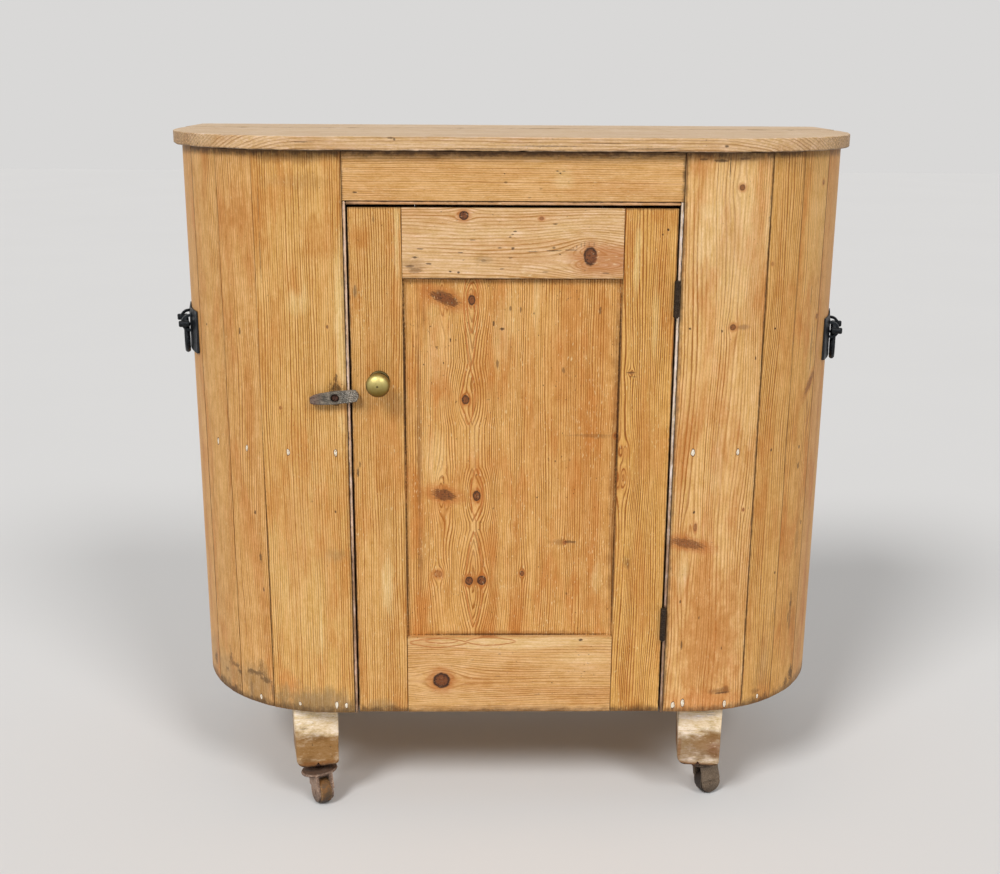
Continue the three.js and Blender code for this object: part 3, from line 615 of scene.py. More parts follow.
def to_piece(bm, name, body, slot, material, grain=None, replaces=(), smooth=40):
    """Ends a mesh as a named piece that rides on a body."""
    bmesh.ops.recalc_face_normals(bm, faces=bm.faces)
    worn = wornness(bm)
    mesh = bpy.data.meshes.new(name)
    bm.to_mesh(mesh)
    bm.free()
    mesh.attributes.new("worn", "FLOAT", "POINT").data.foreach_set("value", worn)
    if grain is not None:
        flat = []
        for vert in mesh.vertices:
            flat.extend(grain(*in_source(vert.co)))
        mesh.attributes.new("grain", "FLOAT_VECTOR", "POINT").data.foreach_set("vector", flat)
    mesh.materials.clear()
    mesh.materials.append(material)
    mesh.shade_smooth()
    mesh.set_sharp_from_angle(angle=math.radians(smooth))
    piece = bpy.data.objects.new(name, mesh)
    bpy.context.scene.collection.objects.link(piece)
    weighted = piece.modifiers.new("weighted", "WEIGHTED_NORMAL")
    weighted.keep_sharp = True
    weighted.weight = 60
    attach(piece, body)
    if replaces:
        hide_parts(*replaces)
    return piece


def wear(bm, arris, chips, seed):
    """Moves the points a little inwards: gently on the faces, more along the edges, and deeper
    where a chip is missing."""
    bm.normal_update()
    worn = wornness(bm)
    offset = Vector((seed, seed * 0.7, -seed))
    depths = []
    for vert, share in zip(bm.verts, worn):
        place = vert.co / MM
        gentle = noise.noise(place / 60 + offset) * 0.5 + 0.5
        nick = noise.noise(place / 9 + offset) * 0.5 + 0.5
        chip = max(0.0, noise.noise(place / 17 - offset) - CHIP_FROM) * 7
        depths.append(FACE_WEAR * gentle + share * (arris * 0.55 * nick + chips * chip))
    press_in(bm, depths)


def grain_limits(node, grain):
    """Least and greatest across, along and depth places of a CAD node."""
    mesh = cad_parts[node].data
    rows = zip(*(grain(*in_source(vert.co)) for vert in mesh.vertices))
    return [end(row) for row in rows for end in (min, max)]


def board(
    node, body, slot, grain, arris=0.8, chips=0.3, slices=((2, 14),), shape=None, segments=2, **looks
):
    """A board from its CAD node, with worn edges and its own piece of pine."""
    bm = from_node(node)
    soften(bm, arris, segments)
    for axis, step in slices:
        slice_up(bm, axis, step)
    limits = grain_limits(node, grain)
    seed = sum(map(ord, node)) % 41
    wear(bm, arris, chips, seed)
    if shape is not None:
        for vert in bm.verts:
            vert.co = shape(vert.co, limits)
    material = pine(f"wood_{node}", limits, **looks)
    return to_piece(bm, f"wood_{node}", body, slot, material, grain, (node,))


# How open the joints of the wall are, in millimetres beyond the CAD gap, from the bottom up
OPEN_JOINTS = {
    ("left", 0): ((0, 0.6), (330, 0.4), (420, -0.22), (848, -0.24)),
    ("left", 1): ((0, 0.4), (420, 0.3), (520, -0.1), (620, -0.15), (848, -0.1)),
    ("left", 2): ((0, 0.5), (560, 0.7), (640, 0.2), (740, -0.2), (848, -0.2)),
    ("left", 3): ((0, 0.1), (848, 0.1)), ("left", 4): ((0, 0.1), (848, 0.1)),
    ("right", 0): ((0, 0.5), (300, 0.35), (600, 0.6), (848, 0.3)),
    ("right", 1): ((0, -0.24), (560, -0.24), (700, 0.0), (848, 0.3)),
    ("right", 2): ((0, -0.24), (620, -0.24), (740, -0.1), (848, 0.0)),
    ("right", 3): ((0, 0.1), (848, 0.1)), ("right", 4): ((0, 0.1), (848, 0.1)),
}


def between(table, z):
    """The value at a height, from rising (height, value) pairs."""
    if z <= table[0][0]:
        return table[0][1]
    for (z0, v0), (z1, v1) in zip(table, table[1:]):
        if z <= z1:
            return v0 + (v1 - v0) * (z - z0) / (z1 - z0)
    return table[-1][1]


def joint_shape(word, index):
    """Moves the edges of a wall board to open or close the joints beside it, and leaves its lower
    end a little ragged."""
    side = -1 if word == "left" else 1
    reach = 4.0

    def shape(co, limits):
        x, y, z = in_source(co)
        walk = wall_grain(x, y, z)[0]
        near, far = limits[:2] if side > 0 else limits[1::-1]
        move = 0.0
        if index > 0 and abs(walk - near) < reach:
            opening = between(OPEN_JOINTS[word, index - 1], z) / 2
            move = side * opening * (1 - abs(walk - near) / reach)
        if (word, index) in OPEN_JOINTS and abs(walk - far) < reach:
            opening = between(OPEN_JOINTS[word, index], z) / 2
            move = -side * opening * (1 - abs(walk - far) / reach)
        if move:
            if abs(x) <= HALF_FLAT:
                along = Vector((1, 0, 0))
            elif y >= CORNER_RADIUS:
                along = Vector((0, side, 0))
            else:
                angle = math.atan2(abs(x) - HALF_FLAT, CORNER_RADIUS - y)
                along = Vector((math.cos(angle), side * math.sin(angle), 0))
            co = co + along * (move * MM)
        if z < 3:
            ragged = max(0.0, noise.noise(Vector((walk / 14, index * 3.1, side))) + 0.1)
            co = co + Vector((0, 0, ragged * 1.8 * MM))
        return co

    return shape


# On every wall board the dark band along l1, its top, is painted shadow under the top's overhang
WALL_LOOKS = {
    ("left", 0): dict(
        spacing=3.45, tilt=6, contrast=1.35, wander=12, tint=(1.0, 1.03, 0.92),
        knots=((-339, 482.8, 2.2, 1.2, 0, 0.45), (-266, 603.7, 1.6, 1.6, 0, 0.7)),
        marks=(
            # The marks round the turn button, from Z 491 to 529, are a dark smudge about it that is
            # partly its painted shadow
            (-262, 327, 1.4, 2.2, 0.8), (-296, 343, 2.0, 2.0, 0.3), (-254, 516, 8.5, 10, 0.8),
            (-253, 511, 6, 3.9, 0.65), (-255, 529, 1.8, 6, 0.7), (-263, 512, 2.5, 3.5, 0.5),
            (-256, 491, 6, 2.4, 0.75), (-369.8, 205, 0.9, 225, 0.8), (-361, 700, 0.9, 40, 0.5),
            (-361, 770, 0.8, 30, 0.45),
        ),
        patches=dict(
            amber=(
                (-361, 752, 16, 60, 0.5), (-278, 725, 20, 34, 0.4), (-367, 565, 10, 80, 0.4),
                (-320, 329, 20, 50, 0.3), (-340, 610, 14, 60, 0.3),
            ),
            # The brown band at Z 838 is painted shadow under the top
            brown=((-314, 806, 60, 12, 0.2), (-310, 838, 70, 8, 0.4)),
            pale=(
                (-247, 590, 8, 150, 0.5), (-307, 641, 16, 22, 0.4), (-289, 133, 2.4, 70, 0.5),
                (-315, 230, 60, 220, 0.16),
            ),
            red=((-350, 52, 14, 20, 0.4), (-338, 40, 12, 22, 0.45)), rust=((-300, 12, 80, 20, 0.45),),
            grey=((-305, 16, 80, 28, 0.75), (-264, 257, 24, 14, 0.35)),
        ),
        edge_dirt_and_shade=dict(l0=(14, 0.7), l1=(9, 0.85), a1=(4, 0.4), a0=(1.5, 0.15)),
    ),
    ("left", 1): dict(
        spacing=3.7, contrast=0.9, mottle=1.5, tint=(0.95, 0.93, 0.86),
        marks=(
            (-403.1, 590, 1.0, 6.5, 0.95), (-390.6, 316, 1.8, 3.0, 0.85), (-384, 246, 2.2, 9, 0.7),
            (-381, 194, 1.8, 4, 0.7), (-407, 51, 20, 5, 0.6), (-384, 43, 12, 5, 0.6),
            (-392, 70, 4.4, 7, 0.3), (-415, 22, 3.4, 18, 0.4), (-372, 24, 3.0, 16, 0.5),
        ),
        patches=dict(
            amber=((-400, 766, 18, 40, 0.35), (-392, 480, 9, 90, 0.4)), grey=((-400, 30, 50, 40, 0.6),),
        ),
        edge_dirt_and_shade=dict(l0=(14, 0.8), l1=(10, 0.8), a1=(1.5, 0.2), a0=(1.5, 0.25)),
    ),
    ("left", 2): dict(
        spacing=3.6, contrast=0.85, mottle=1.5, tint=(0.97, 0.97, 0.91),
        marks=(
            (-483.8, 590, 1.6, 2.4, 0.85), (-452, 50, 13, 5, 0.6), (-462, 58, 4.4, 12, 0.5),
            (-440, 42, 6, 4.6, 0.6), (-478, 34, 7, 5, 0.5),
        ),
        patches=dict(amber=((-434, 675, 10, 60, 0.3),), grey=((-470, 32, 50, 34, 0.5),)),
        edge_dirt_and_shade=dict(l0=(20, 0.85), l1=(10, 0.8), a1=(1.5, 0.25), a0=(2, 0.5)),
    ),
    ("left", 3): dict(
        spacing=4.2, contrast=0.8, marks=((-526, 38, 8, 12, 0.6),),
        patches=dict(grey=((-530, 40, 40, 40, 0.4),)),
        edge_dirt_and_shade=dict(l0=(18, 0.7), l1=(12, 0.5), a1=(2, 0.5), a0=(2, 0.5)),
    ),
    ("right", 0): dict(
        tones=dict(HONEY, early=srgb(232, 184, 118)), spacing=4.5, tilt=8, contrast=0.95, wander=26,
        tint=(0.97, 0.96, 0.93),
        patches=dict(
            amber=(
                (300, 120, 54, 110, 0.6), (251, 826, 14, 16, 0.5), (292, 177, 9, 38, 0.5),
                (306, 81, 16, 34, 0.4), (340, 640, 12, 60, 0.3),
            ),
            pale=(
                (274, 768, 26, 16, 0.5), (305, 730, 60, 120, 0.38), (266, 721, 16, 34, 0.45),
                (310, 741, 14, 40, 0.35), (256, 226, 12, 40, 0.5), (300, 400, 12, 70, 0.3),
            ),
            rust=((326, 604, 14, 4.0, 0.5),), red=((345, 60, 14, 30, 0.25), (296, 14, 80, 24, 0.5)),
            # The brown band at Z 841 is painted shadow under the top
            brown=((322, 33, 18, 6, 0.7), (300, 841, 60, 5, 0.45)),
        ),
        knots=(
            (314.7, 800.7, 4.2, 1.0, 0, 0.75), (311.8, 604.1, 4.6, 1.0, 0, 0.75),
            (261, 277, 7.6, 3.6, 77, 0.7), (345, 326.9, 1.8, 1.4, 0, 0.6),
            (271.3, 302.6, 2.6, 2.4, 0, 0.5),
        ),
        marks=(
            (268.2, 326.3, 2.0, 2.4, 0.95), (249.7, 602.4, 1.8, 1.8, 0.9), (296, 598.8, 1.4, 2.2, 0.85),
            # The dark marks at Z 837 to 840 are painted shadow under the top
            (350.5, 556.9, 1.2, 3.0, 0.8), (295.8, 832, 0.7, 20, 0.85), (259, 839, 7, 1.6, 0.6),
            (283, 837, 11, 2.2, 0.7), (316, 840, 9, 1.8, 0.55), (259.2, 112, 1.4, 8, 0.7),
            (254, 184, 1.4, 3, 0.7), (283.8, 157, 1.0, 3, 0.6), (321.9, 105, 1.0, 3, 0.7),
            (326.2, 29.1, 15, 1.6, 0.6),
        ),
        stain=0.55, edge_dirt_and_shade=dict(l0=(12, 0.7), l1=(9, 0.85), a0=(5, 0.6), a1=(2.4, 0.75)),
    ),
    ("right", 1): dict(
        spacing=4.0, contrast=1.4, tint=(0.97, 0.95, 0.8),
        patches=dict(
            brown=((392, 21, 10, 5, 0.6),), grey=((400, 60, 14, 60, 0.3),),
            amber=((380, 300, 10, 80, 0.3),),
        ),
        knots=((369.4, 692.6, 2.4, 1.2, 0, 0.3),),
        marks=(
            (381.1, 598.3, 1.5, 1.8, 0.95), (388.9, 414.7, 1.5, 2.8, 0.9), (413.6, 214.1, 1.3, 2.6, 0.85),
            (421, 148, 3.5, 11, 0.35),
        ),
        edge_dirt_and_shade=dict(l0=(16, 0.8), l1=(9, 0.8), a0=(2.5, 0.7), a1=(1.5, 0.4)),
    ),
    ("right", 2): dict(
        tones=DEEP, spacing=4.3, contrast=0.9, mottle=1.6, tint=(1.05, 1.05, 0.9),
        patches=dict(
            brown=((462, 132, 4, 34, 0.7), (466, 260, 5, 30, 0.35)), amber=((470, 620, 20, 60, 0.3),),
            pale=((468, 690, 44, 230, 0.2),),
        ),
        knots=(
            (471.2, 802.6, 3.2, 1.2, 20, 0.7), (481.5, 605.4, 4.6, 0.8, 0, 0.5),
            (472, 505, 6, 4.0, 142, 0.6),
        ),
        marks=(
            (453.1, 408.7, 1.8, 3.4, 0.8), (454.7, 377.9, 2.4, 6.0, 0.75), (477.3, 281.2, 1.3, 3.8, 0.85),
            (470, 560, 3.4, 30, 0.35), (458, 640, 1.8, 14, 0.4), (461.4, 150, 3.4, 6, 0.5),
            (456, 128, 2.2, 10, 0.5), (477.6, 24, 8, 12, 0.75), (464, 14, 7, 6, 0.6),
        ),
        stain=0.6, edge_dirt_and_shade=dict(l0=(16, 0.7), l1=(12, 0.45), a0=(1.5, 0.4), a1=(1.5, 0.4)),
    ),
}
# Its band along l1, the top, is painted shadow under the top's overhang; the others are old soiling
HIDDEN_DIRT_AND_SHADE = dict(l0=(20, 0.7), l1=(12, 0.5), a0=(2, 0.4), a1=(2, 0.4))


def add_walls():
    for word in ("left", "right"):
        for index in range(6):
            tones = DEEP if index % 2 else HONEY
            plain = dict(tones=tones, spacing=5.4, contrast=0.55, edge_dirt_and_shade=HIDDEN_DIRT_AND_SHADE)
            node = f"stave_{word}_{index}" if index else f"front_board_{word}"
            looks = WALL_LOOKS.get((word, index), plain)
            shape = joint_shape(word, index)
            board(
                node, "cabinet", "pine", wall_grain,
                arris=0.25, chips=0.35, slices=((2, 12),), shape=shape, **looks,
            )


def top_shape(co, _):
    """The top's edge has been knocked about: its lower line wavers and is chipped in places."""
    x, y, z = in_source(co)
    if z < 852 and (y < 40 or abs(x) > 450):
        waver = noise.noise(Vector((x / 60, y / 60, 1))) * 0.8
        chips = noise.noise(Vector((x / 13, y / 13, 5))) * 0.7
        co = co + Vector((0, 0, max(0.0, waver + chips + 0.2) * MM))
    return co


def add_top():
    # The dark band along d0, the lower edge of the front plank, is partly painted shadow, partly soiling
    # in its chips
    board(
        "top_front_plank", "cabinet", "pine", plan_grain,
        arris=2.0, chips=0.9, segments=3, slices=((0, 9), (1, 26)), shape=top_shape, tones=TOP,
        spacing=3.6, tilt=50, contrast=0.9, wander=9,
        marks=(
            (116, -20, 2.0, 46, 0.5), (127, -248, 2.0, 40, 0.4), (-12.5, -171, 2, 5, 0.6, 866, 1.6),
            (-12.5, -166, 3, 2, 0.7, 864, 2), (-12.5, 320, 2, 6, 0.5, 864, 2),
            (-12.5, -318, 2.6, 3.4, 0.9, 858, 2.4), (-12.5, -300, 3, 24, 0.45, 860, 1.2),
            (-12.5, -352, 3, 9, 0.5, 862, 1.2), (-12.5, 287, 2.4, 3.0, 0.8, 857, 2),
            (-12.5, 190, 3, 40, 0.5, 853, 1.2), (-12.5, 40, 3, 52, 0.5, 856, 1.0),
            (-12.5, -40, 3, 60, 0.4, 852, 1.2), (-12.5, 120, 3, 40, 0.35, 860, 0.8),
        ),
        stain=0.35, specks=0.7, edge_dirt_and_shade=dict(d0=(3.2, 0.75)), ends=0.75, rim=(1.06, 0.95, 0.78),
        tint=(1.02, 1.1, 1.28),
    )
    board(
        "top_back_plank", "cabinet", "pine", plan_grain,
        arris=1.8, chips=0.6, segments=3, slices=((0, 12), (1, 30)), tones=TOP, spacing=4.6, tilt=40,
        contrast=0.8, wander=12, knots=((311, 484, 3.5, 4.0, 0, 0.5),), marks=((311, 470, 2.0, 26, 0.5),),
        stain=0.35, edge_dirt_and_shade=dict(a0=(2, 0.5)), ends=0.75, tint=(1.02, 1.1, 1.28),
    )


def add_front_frame():
    # The brown band at Z 845 and the dark band along a1, the rail's top, are painted shadow under the top
    board(
        "header_rail", "cabinet", "pine", level_grain,
        arris=0.7, slices=((0, 14),),
        tones=dict(PALE, early=srgb(226, 176, 114), late=srgb(176, 122, 64)), spacing=2.9, tilt=8,
        contrast=0.9, tint=(0.96, 0.96, 0.92), wander=7,
        patches=dict(
            pale=((810, 66, 20, 16, 0.35),), brown=((845, 0, 4, 240, 0.5),),
            amber=((800, 150, 12, 60, 0.25),),
        ),
        marks=(
            (818.2, -15.8, 1.0, 1.4, 0.7), (806.4, -14.1, 1.6, 2.4, 0.5), (798, 34.8, 1.4, 3.0, 0.35),
            (822, 57, 1.0, 2.4, 0.75), (819, 61, 1.4, 1.6, 0.8), (822, 66, 0.8, 2.4, 0.5),
            (785.7, 18.7, 1.2, 2.4, 0.45), (792, -222.3, 1.0, 3.2, 0.8),
        ),
        stain=0.3, edge_dirt_and_shade=dict(l0=(3, 0.6), l1=(5, 0.8), a1=(9, 0.85), a0=(1.4, 0.45)),
    )
    # On each bead the dark bands along both sides, a0 and a1, are painted shade of the gaps beside it
    for node, grain, side, grooves, early in (
        ("bead_left", upright_grain, -1, (2.7, 0.8), srgb(238, 204, 170)),
        ("bead_right", upright_grain, 1, (0.8, 2.2), srgb(232, 212, 188)),
        ("bead_top", level_grain, 0, (1.0, 1.7), srgb(206, 158, 110)),
    ):
        board(
            node, "cabinet", "pale_pine", grain,
            arris=1.9, chips=0.25, segments=3, slices=((2 if side else 0, 12),),
            tones=dict(PALE, early=early, late=srgb(168, 116, 70)), spacing=2.6, contrast=0.6, stain=0.35,
            mottle=1.6, patches=dict(brown=((side * 233, 120, 9, 300, 0.75),)) if side else {},
            edge_dirt_and_shade=dict(a0=(grooves[0], 0.95), a1=(grooves[1], 0.95), l0=(30, 0.6)),
        )


def add_door():
    board(
        "door_stile_left", "door", "pine", upright_grain,
        arris=0.9, spacing=3.15, tilt=5, contrast=1.6, wander=12, flecks=0.6, tint=(1.0, 1.02, 0.94),
        patches=dict(
            amber=((-217, 729, 14, 22, 0.5), (-196, 394, 12, 50, 0.35), (-205, 560, 10, 60, 0.3)),
            pale=((-166, 720, 5, 60, 0.55), (-187, 209, 12, 46, 0.5)),
            grey=((-225, 655, 4, 14, 0.55), (-198, 12, 34, 12, 0.5)),
        ),
        marks=(
            (-197.7, 755, 1.6, 5, 0.4), (-225.6, 655, 2.2, 9, 0.35), (-227.5, 388, 1.8, 8, 0.75),
            (-224, 400, 1.4, 6, 0.5),
        ),
        stain=0.5, edge_dirt_and_shade=dict(l0=(14, 0.75), l1=(3, 0.5), a0=(2.4, 0.85), a1=(1.5, 0.35)),
    )
    board(
        "door_stile_right", "door", "pine", upright_grain,
        arris=0.9, tones=dict(DEEP, early=srgb(222, 168, 100), late=srgb(146, 82, 20)), spacing=3.3,
        tilt=5, contrast=1.55, wander=16, flecks=0.6, tint=(0.99, 1.0, 0.82),
        patches=dict(
            amber=((200, 761, 14, 14, 0.4), (199, 200, 14, 80, 0.2)),
            pale=((171, 707, 6, 60, 0.5), (200, 620, 5, 60, 0.3)),
            brown=((173, 244, 3, 10, 0.7), (194, 6, 34, 8, 0.5)),
        ),
        knots=((168, 538, 3.4, 0.8, 0, 0.4), (160, 420, 6, 1.2, 0, 0.0), (157, 380, 9, 1.4, 0, 0.0)),
        marks=(
            (212.9, 742.3, 1.6, 1.8, 0.95), (205.9, 735.8, 1.6, 1.6, 0.7), (168, 538, 7, 1.2, 0.5),
            (172, 532, 5, 1.0, 0.4), (168, 250, 3, 10, 0.25),
        ),
        stain=0.4, edge_dirt_and_shade=dict(l0=(12, 0.75), l1=(3, 0.6), a1=(2.2, 0.75), a0=(1.2, 0.4)),
    )
    board(
        "door_rail_top", "door", "pale_pine", level_grain,
        arris=0.8, slices=((0, 14),), tones=PALE, spacing=4.4, tilt=14, contrast=0.95, wander=20,
        flecks=0.6, tint=(0.95, 0.93, 0.92),
        patches=dict(
            pale=((735, 0, 10, 90, 0.3), (745, 60, 8, 40, 0.3)), brown=((690, -140, 10, 20, 0.35),),
            grey=((700, -42, 5, 12, 0.4),), amber=((700, 20, 10, 50, 0.2),),
        ),
        knots=(
            (761.1, -72.1, 6.4, 1.05, 0, 1.0), (757.3, 36.1, 2.4, 1.4, 0, 0.5),
            (705.1, 105.3, 13.6, 0.72, 0, 0.97), (700, 128, 14, 2.4, 0, 0.0),
        ),
        marks=(
            (739.2, -0.5, 1.0, 2.6, 0.8), (735, -4, 0.8, 2.0, 0.7), (731.3, -7, 0.9, 2.6, 0.7),
            (749.5, 55.2, 1.4, 3.6, 0.6), (726.9, -59.6, 1.1, 4.6, 0.45), (716.2, -21.7, 1.6, 4.0, 0.5),
            (715.6, -3.6, 2.2, 2.6, 0.8), (716.5, 54.2, 1.8, 2.6, 0.55), (711, 26, 0.8, 8, 0.6),
            (712.5, 52, 0.8, 12, 0.75), (713.6, 78, 0.7, 10, 0.6), (709.4, -76, 1.0, 4, 0.7),
            (698.3, -44.8, 2.0, 4.0, 0.35), (702.4, -6.8, 1.5, 3.0, 0.4), (714.4, -133.7, 1.3, 4.5, 0.6),
            (702.6, -140.5, 1.4, 4.6, 0.8), (693.7, -120.8, 1.1, 4.6, 0.75), (682.9, -91, 1.4, 2.8, 0.85),
            (681.3, -79.5, 1.6, 2.6, 0.85), (684, -140, 4, 11, 0.4), (690, -148, 2, 6, 0.6),
            (686.8, -18.2, 1.1, 4, 0.5), (682.7, 42.1, 1.2, 6, 0.35), (681.3, 128, 0.9, 6, 0.6),
            (721, 92, 3.4, 0.6, 0.6), (722, 97, 3.6, 0.5, 0.6), (722, 103, 3.4, 0.5, 0.5),
            (721, 110, 3.2, 0.5, 0.5), (718, 86, 3.0, 0.6, 0.5), (716, 81, 2.4, 0.6, 0.4),
        ),
        stain=0.35, specks=0.7, edge_dirt_and_shade=dict(l0=(3, 0.5), l1=(3, 0.6), a0=(2, 0.5), a1=(1.2, 0.2)),
    )
    board(
        "door_rail_bottom", "door", "pale_pine", level_grain,
        arris=0.9, slices=((0, 14),),
        tones=dict(PALE, early=srgb(228, 182, 120), late=srgb(178, 124, 64)), spacing=4.0, tilt=16,
        contrast=0.95, wander=18, tint=(0.93, 0.89, 0.85),
        patches=dict(
            pale=((116, 0, 12, 170, 0.65), (92, 110, 10, 40, 0.35)), amber=((50, -60, 16, 50, 0.25),),
            brown=((6, 0, 6, 170, 0.4), (30, 120, 3, 30, 0.3)),
        ),
        knots=((54.0, -107.3, 13.2, 1.02, 0, 1.0),),
        lenses=((117, -112, 7.5, 46, 46), (119, -38, 6.5, 34, 47), (120, -105, 4.0, 30, 26),),
        marks=(
            (121.2, 104.7, 2.4, 3.4, 0.85), (98, -18, 0.8, 2.6, 0.6), (88, -60, 0.7, 3, 0.5),
            (61, -22, 0.7, 4, 0.5), (30, 40, 0.7, 5, 0.4),
        ),
        stain=0.35, specks=0.6, edge_dirt_and_shade=dict(a0=(7, 0.65), l0=(2.5, 0.45), l1=(3, 0.5), a1=(1.2, 0.15)),
    )
    # Round the recessed panel the dark bands, brown patches and long dark marks along its four edges are
    # partly painted shade from the frame, partly old soiling
    board(
        "door_panel", "door", "pine", upright_grain,
        arris=0.4, chips=0.1, spacing=3.35, tilt=4, contrast=1.6, wander=13, heart=-61,
        flecks=0.6, tint=(1.02, 1.0, 0.89),
        patches=dict(
            amber=(
                (110, 420, 44, 230, 0.3), (82, 619, 18, 70, 0.5), (123, 600, 14, 80, 0.45),
                (66, 540, 22, 70, 0.4), (120, 380, 16, 90, 0.3), (31, 430, 16, 60, 0.25),
            ),
            pale=(
                (31, 640, 5, 50, 0.4), (-15, 600, 20, 60, 0.25), (-116, 413, 16, 50, 0.35),
                (-112, 560, 24, 90, 0.25), (-62, 590, 7, 60, 0.2), (-58, 420, 7, 60, 0.25),
                (-58, 280, 7, 50, 0.2), (125, 219, 9, 30, 0.45),
            ),
            brown=(
                (-138, 400, 4, 300, 0.45), (148, 400, 6, 300, 0.5), (0, 673, 170, 5, 0.45),
                (0, 129, 170, 5, 0.45), (-129, 640, 4, 60, 0.3), (120, 440, 26, 3, 0.35),
                (72, 277, 20, 5, 0.45), (-55, 214.5, 17, 6, 0.6),
            ),
        ),
        knots=(
            (-99.4, 644, 8.8, 2.7, 68, 0.92), (-61.1, 641.6, 5.4, 1.4, 0, 0.95),
            (-70, 496, 5.8, 1.2, 0, 0.92), (-102.4, 351.6, 9.0, 2.0, 78, 0.85),
            (-53.8, 349.5, 6.0, 1.4, 0, 0.95), (-111.3, 226, 6.5, 0.9, 0, 0.3),
            (-65.2, 214.8, 6.0, 1.2, 0, 0.95), (-46.2, 215.7, 7.0, 1.1, 0, 0.98),
            (14.5, 226.7, 3.6, 1.2, 0, 0.85), (78, 276.2, 2.4, 1.0, 0, 0.5),
            (150, 442, 3.4, 1.0, 0, 0.55),
        ),
        lenses=(
            (-62, 641, 10, 99, 60), (-62, 640, 5.5, 51, 30), (-66, 500, 9, 44, 52), (-54, 350, 9, 42, 44),
            (-57, 215, 13, 78, 81),
        ),
        marks=(
            (-91.6, 583.6, 1.1, 3.2, 0.9), (-130, 547.6, 1.0, 1.6, 0.7), (-101.6, 550, 1.0, 1.8, 0.7),
            (-24, 549, 2.2, 8, 0.55), (-17.8, 599.7, 4.0, 2.2, 0.85), (-30, 608, 1.8, 3.6, 0.8),
            (-6.3, 629.3, 1.6, 4.6, 0.6), (8.5, 627.6, 1.4, 4.0, 0.6), (122, 627, 1.6, 6.5, 0.6),
            (71.2, 539.6, 2.6, 5.0, 0.5), (-157.9, 520, 1.7, 156, 0.9), (-157.9, 240, 1.3, 130, 0.75),
            (151.5, 500, 1.6, 175, 0.85), (151.6, 230, 1.2, 110, 0.7), (-60, 672.2, 110, 1.3, 0.8),
            (80, 672.4, 80, 1.1, 0.7), (0, 127.3, 165, 1.5, 0.75), (112, 442.5, 34, 2.2, 0.25),
            (86, 277, 10, 2.2, 0.55), (82, 193.8, 1.6, 2.2, 0.5),
        ),
        stain=0.65, specks=0.7, edge_dirt_and_shade=dict(l0=(6, 0.75), l1=(7, 0.75), a0=(7, 0.75), a1=(8, 0.8)),
    )


def add_inside():
    plain = dict(tones=INSIDE, spacing=6.0, contrast=0.6, stain=0.3, age=0.35)
    for number in (1, 2, 3):
        board(
            f"back_board_{number}", "cabinet", "pale_pine", upright_grain,
            arris=0.8, slices=((2, 30),), edge_dirt_and_shade=dict(l0=(20, 0.5), a0=(3, 0.5), a1=(3, 0.5)),
            knots=((-330 + 300 * (number - 1), 250 + 190 * number % 410, 9, 1.2, 0, 0.9),),
            **plain,
        )
    for node in ("bottom_board", "middle_shelf", "top_rib_left", "top_rib_right"):
        board(
            node, "cabinet", "pale_pine", plan_grain,
            arris=0.8, slices=((0, 40),), tilt=30, edge_dirt_and_shade=dict(a1=(14, 0.4)),
            **plain,
        )


# Round pieces, drawn about Z and then placed
def lathe(profile, segments):
    """A closed turned form from (radius, height) pairs, in millimetres, as a bmesh in metres."""
    bm = bmesh.new()
    rows = []
    for radius, height in profile:
        if radius == 0:
            rows.append([bm.verts.new((0, 0, height * MM))])
            continue
        row = []
        for i in range(segments):
            angle = 2 * math.pi * i / segments
            place = (radius * math.cos(angle) * MM, radius * math.sin(angle) * MM, height * MM)
            row.append(bm.verts.new(place))
        rows.append(row)
    for low, high in zip(rows, rows[1:]):
        for i in range(segments):
            j = (i + 1) % segments
            corner = [low[i % len(low)], low[j % len(low)], high[j % len(high)], high[i % len(high)]]
            unique = list(dict.fromkeys(corner))
            if len(unique) > 2:
                bm.faces.new(unique)
    return bm


FACING_FRONT = Matrix.Rotation(math.pi / 2, 4, "X")


def cut_slot(bm, half_width, depth, floor=-1.0, slant=0.0):
    """Sinks the points of a screw's head that lie within its slot, above the floor."""
    for vert in bm.verts:
        if vert.co.z > floor * MM and abs(vert.co.x - vert.co.y * slant) < half_width * MM:
            vert.co.z -= depth * MM


def merged(parts):
    """Several meshes as one."""
    whole = bmesh.new()
    for part in parts:
        mesh = bpy.data.meshes.new("part")
        part.to_mesh(mesh)
        part.free()
        whole.from_mesh(mesh)
        bpy.data.meshes.remove(mesh)
    return whole


def mark_worn(bm, test):
    """Marks the faces whose middle passes the test, for the worn attribute."""
    layer = bm.faces.layers.int.get("arris") or bm.faces.layers.int.new("arris")
    for face in bm.faces:
        face[layer] = 1 if test(face.calc_center_median()) else 0


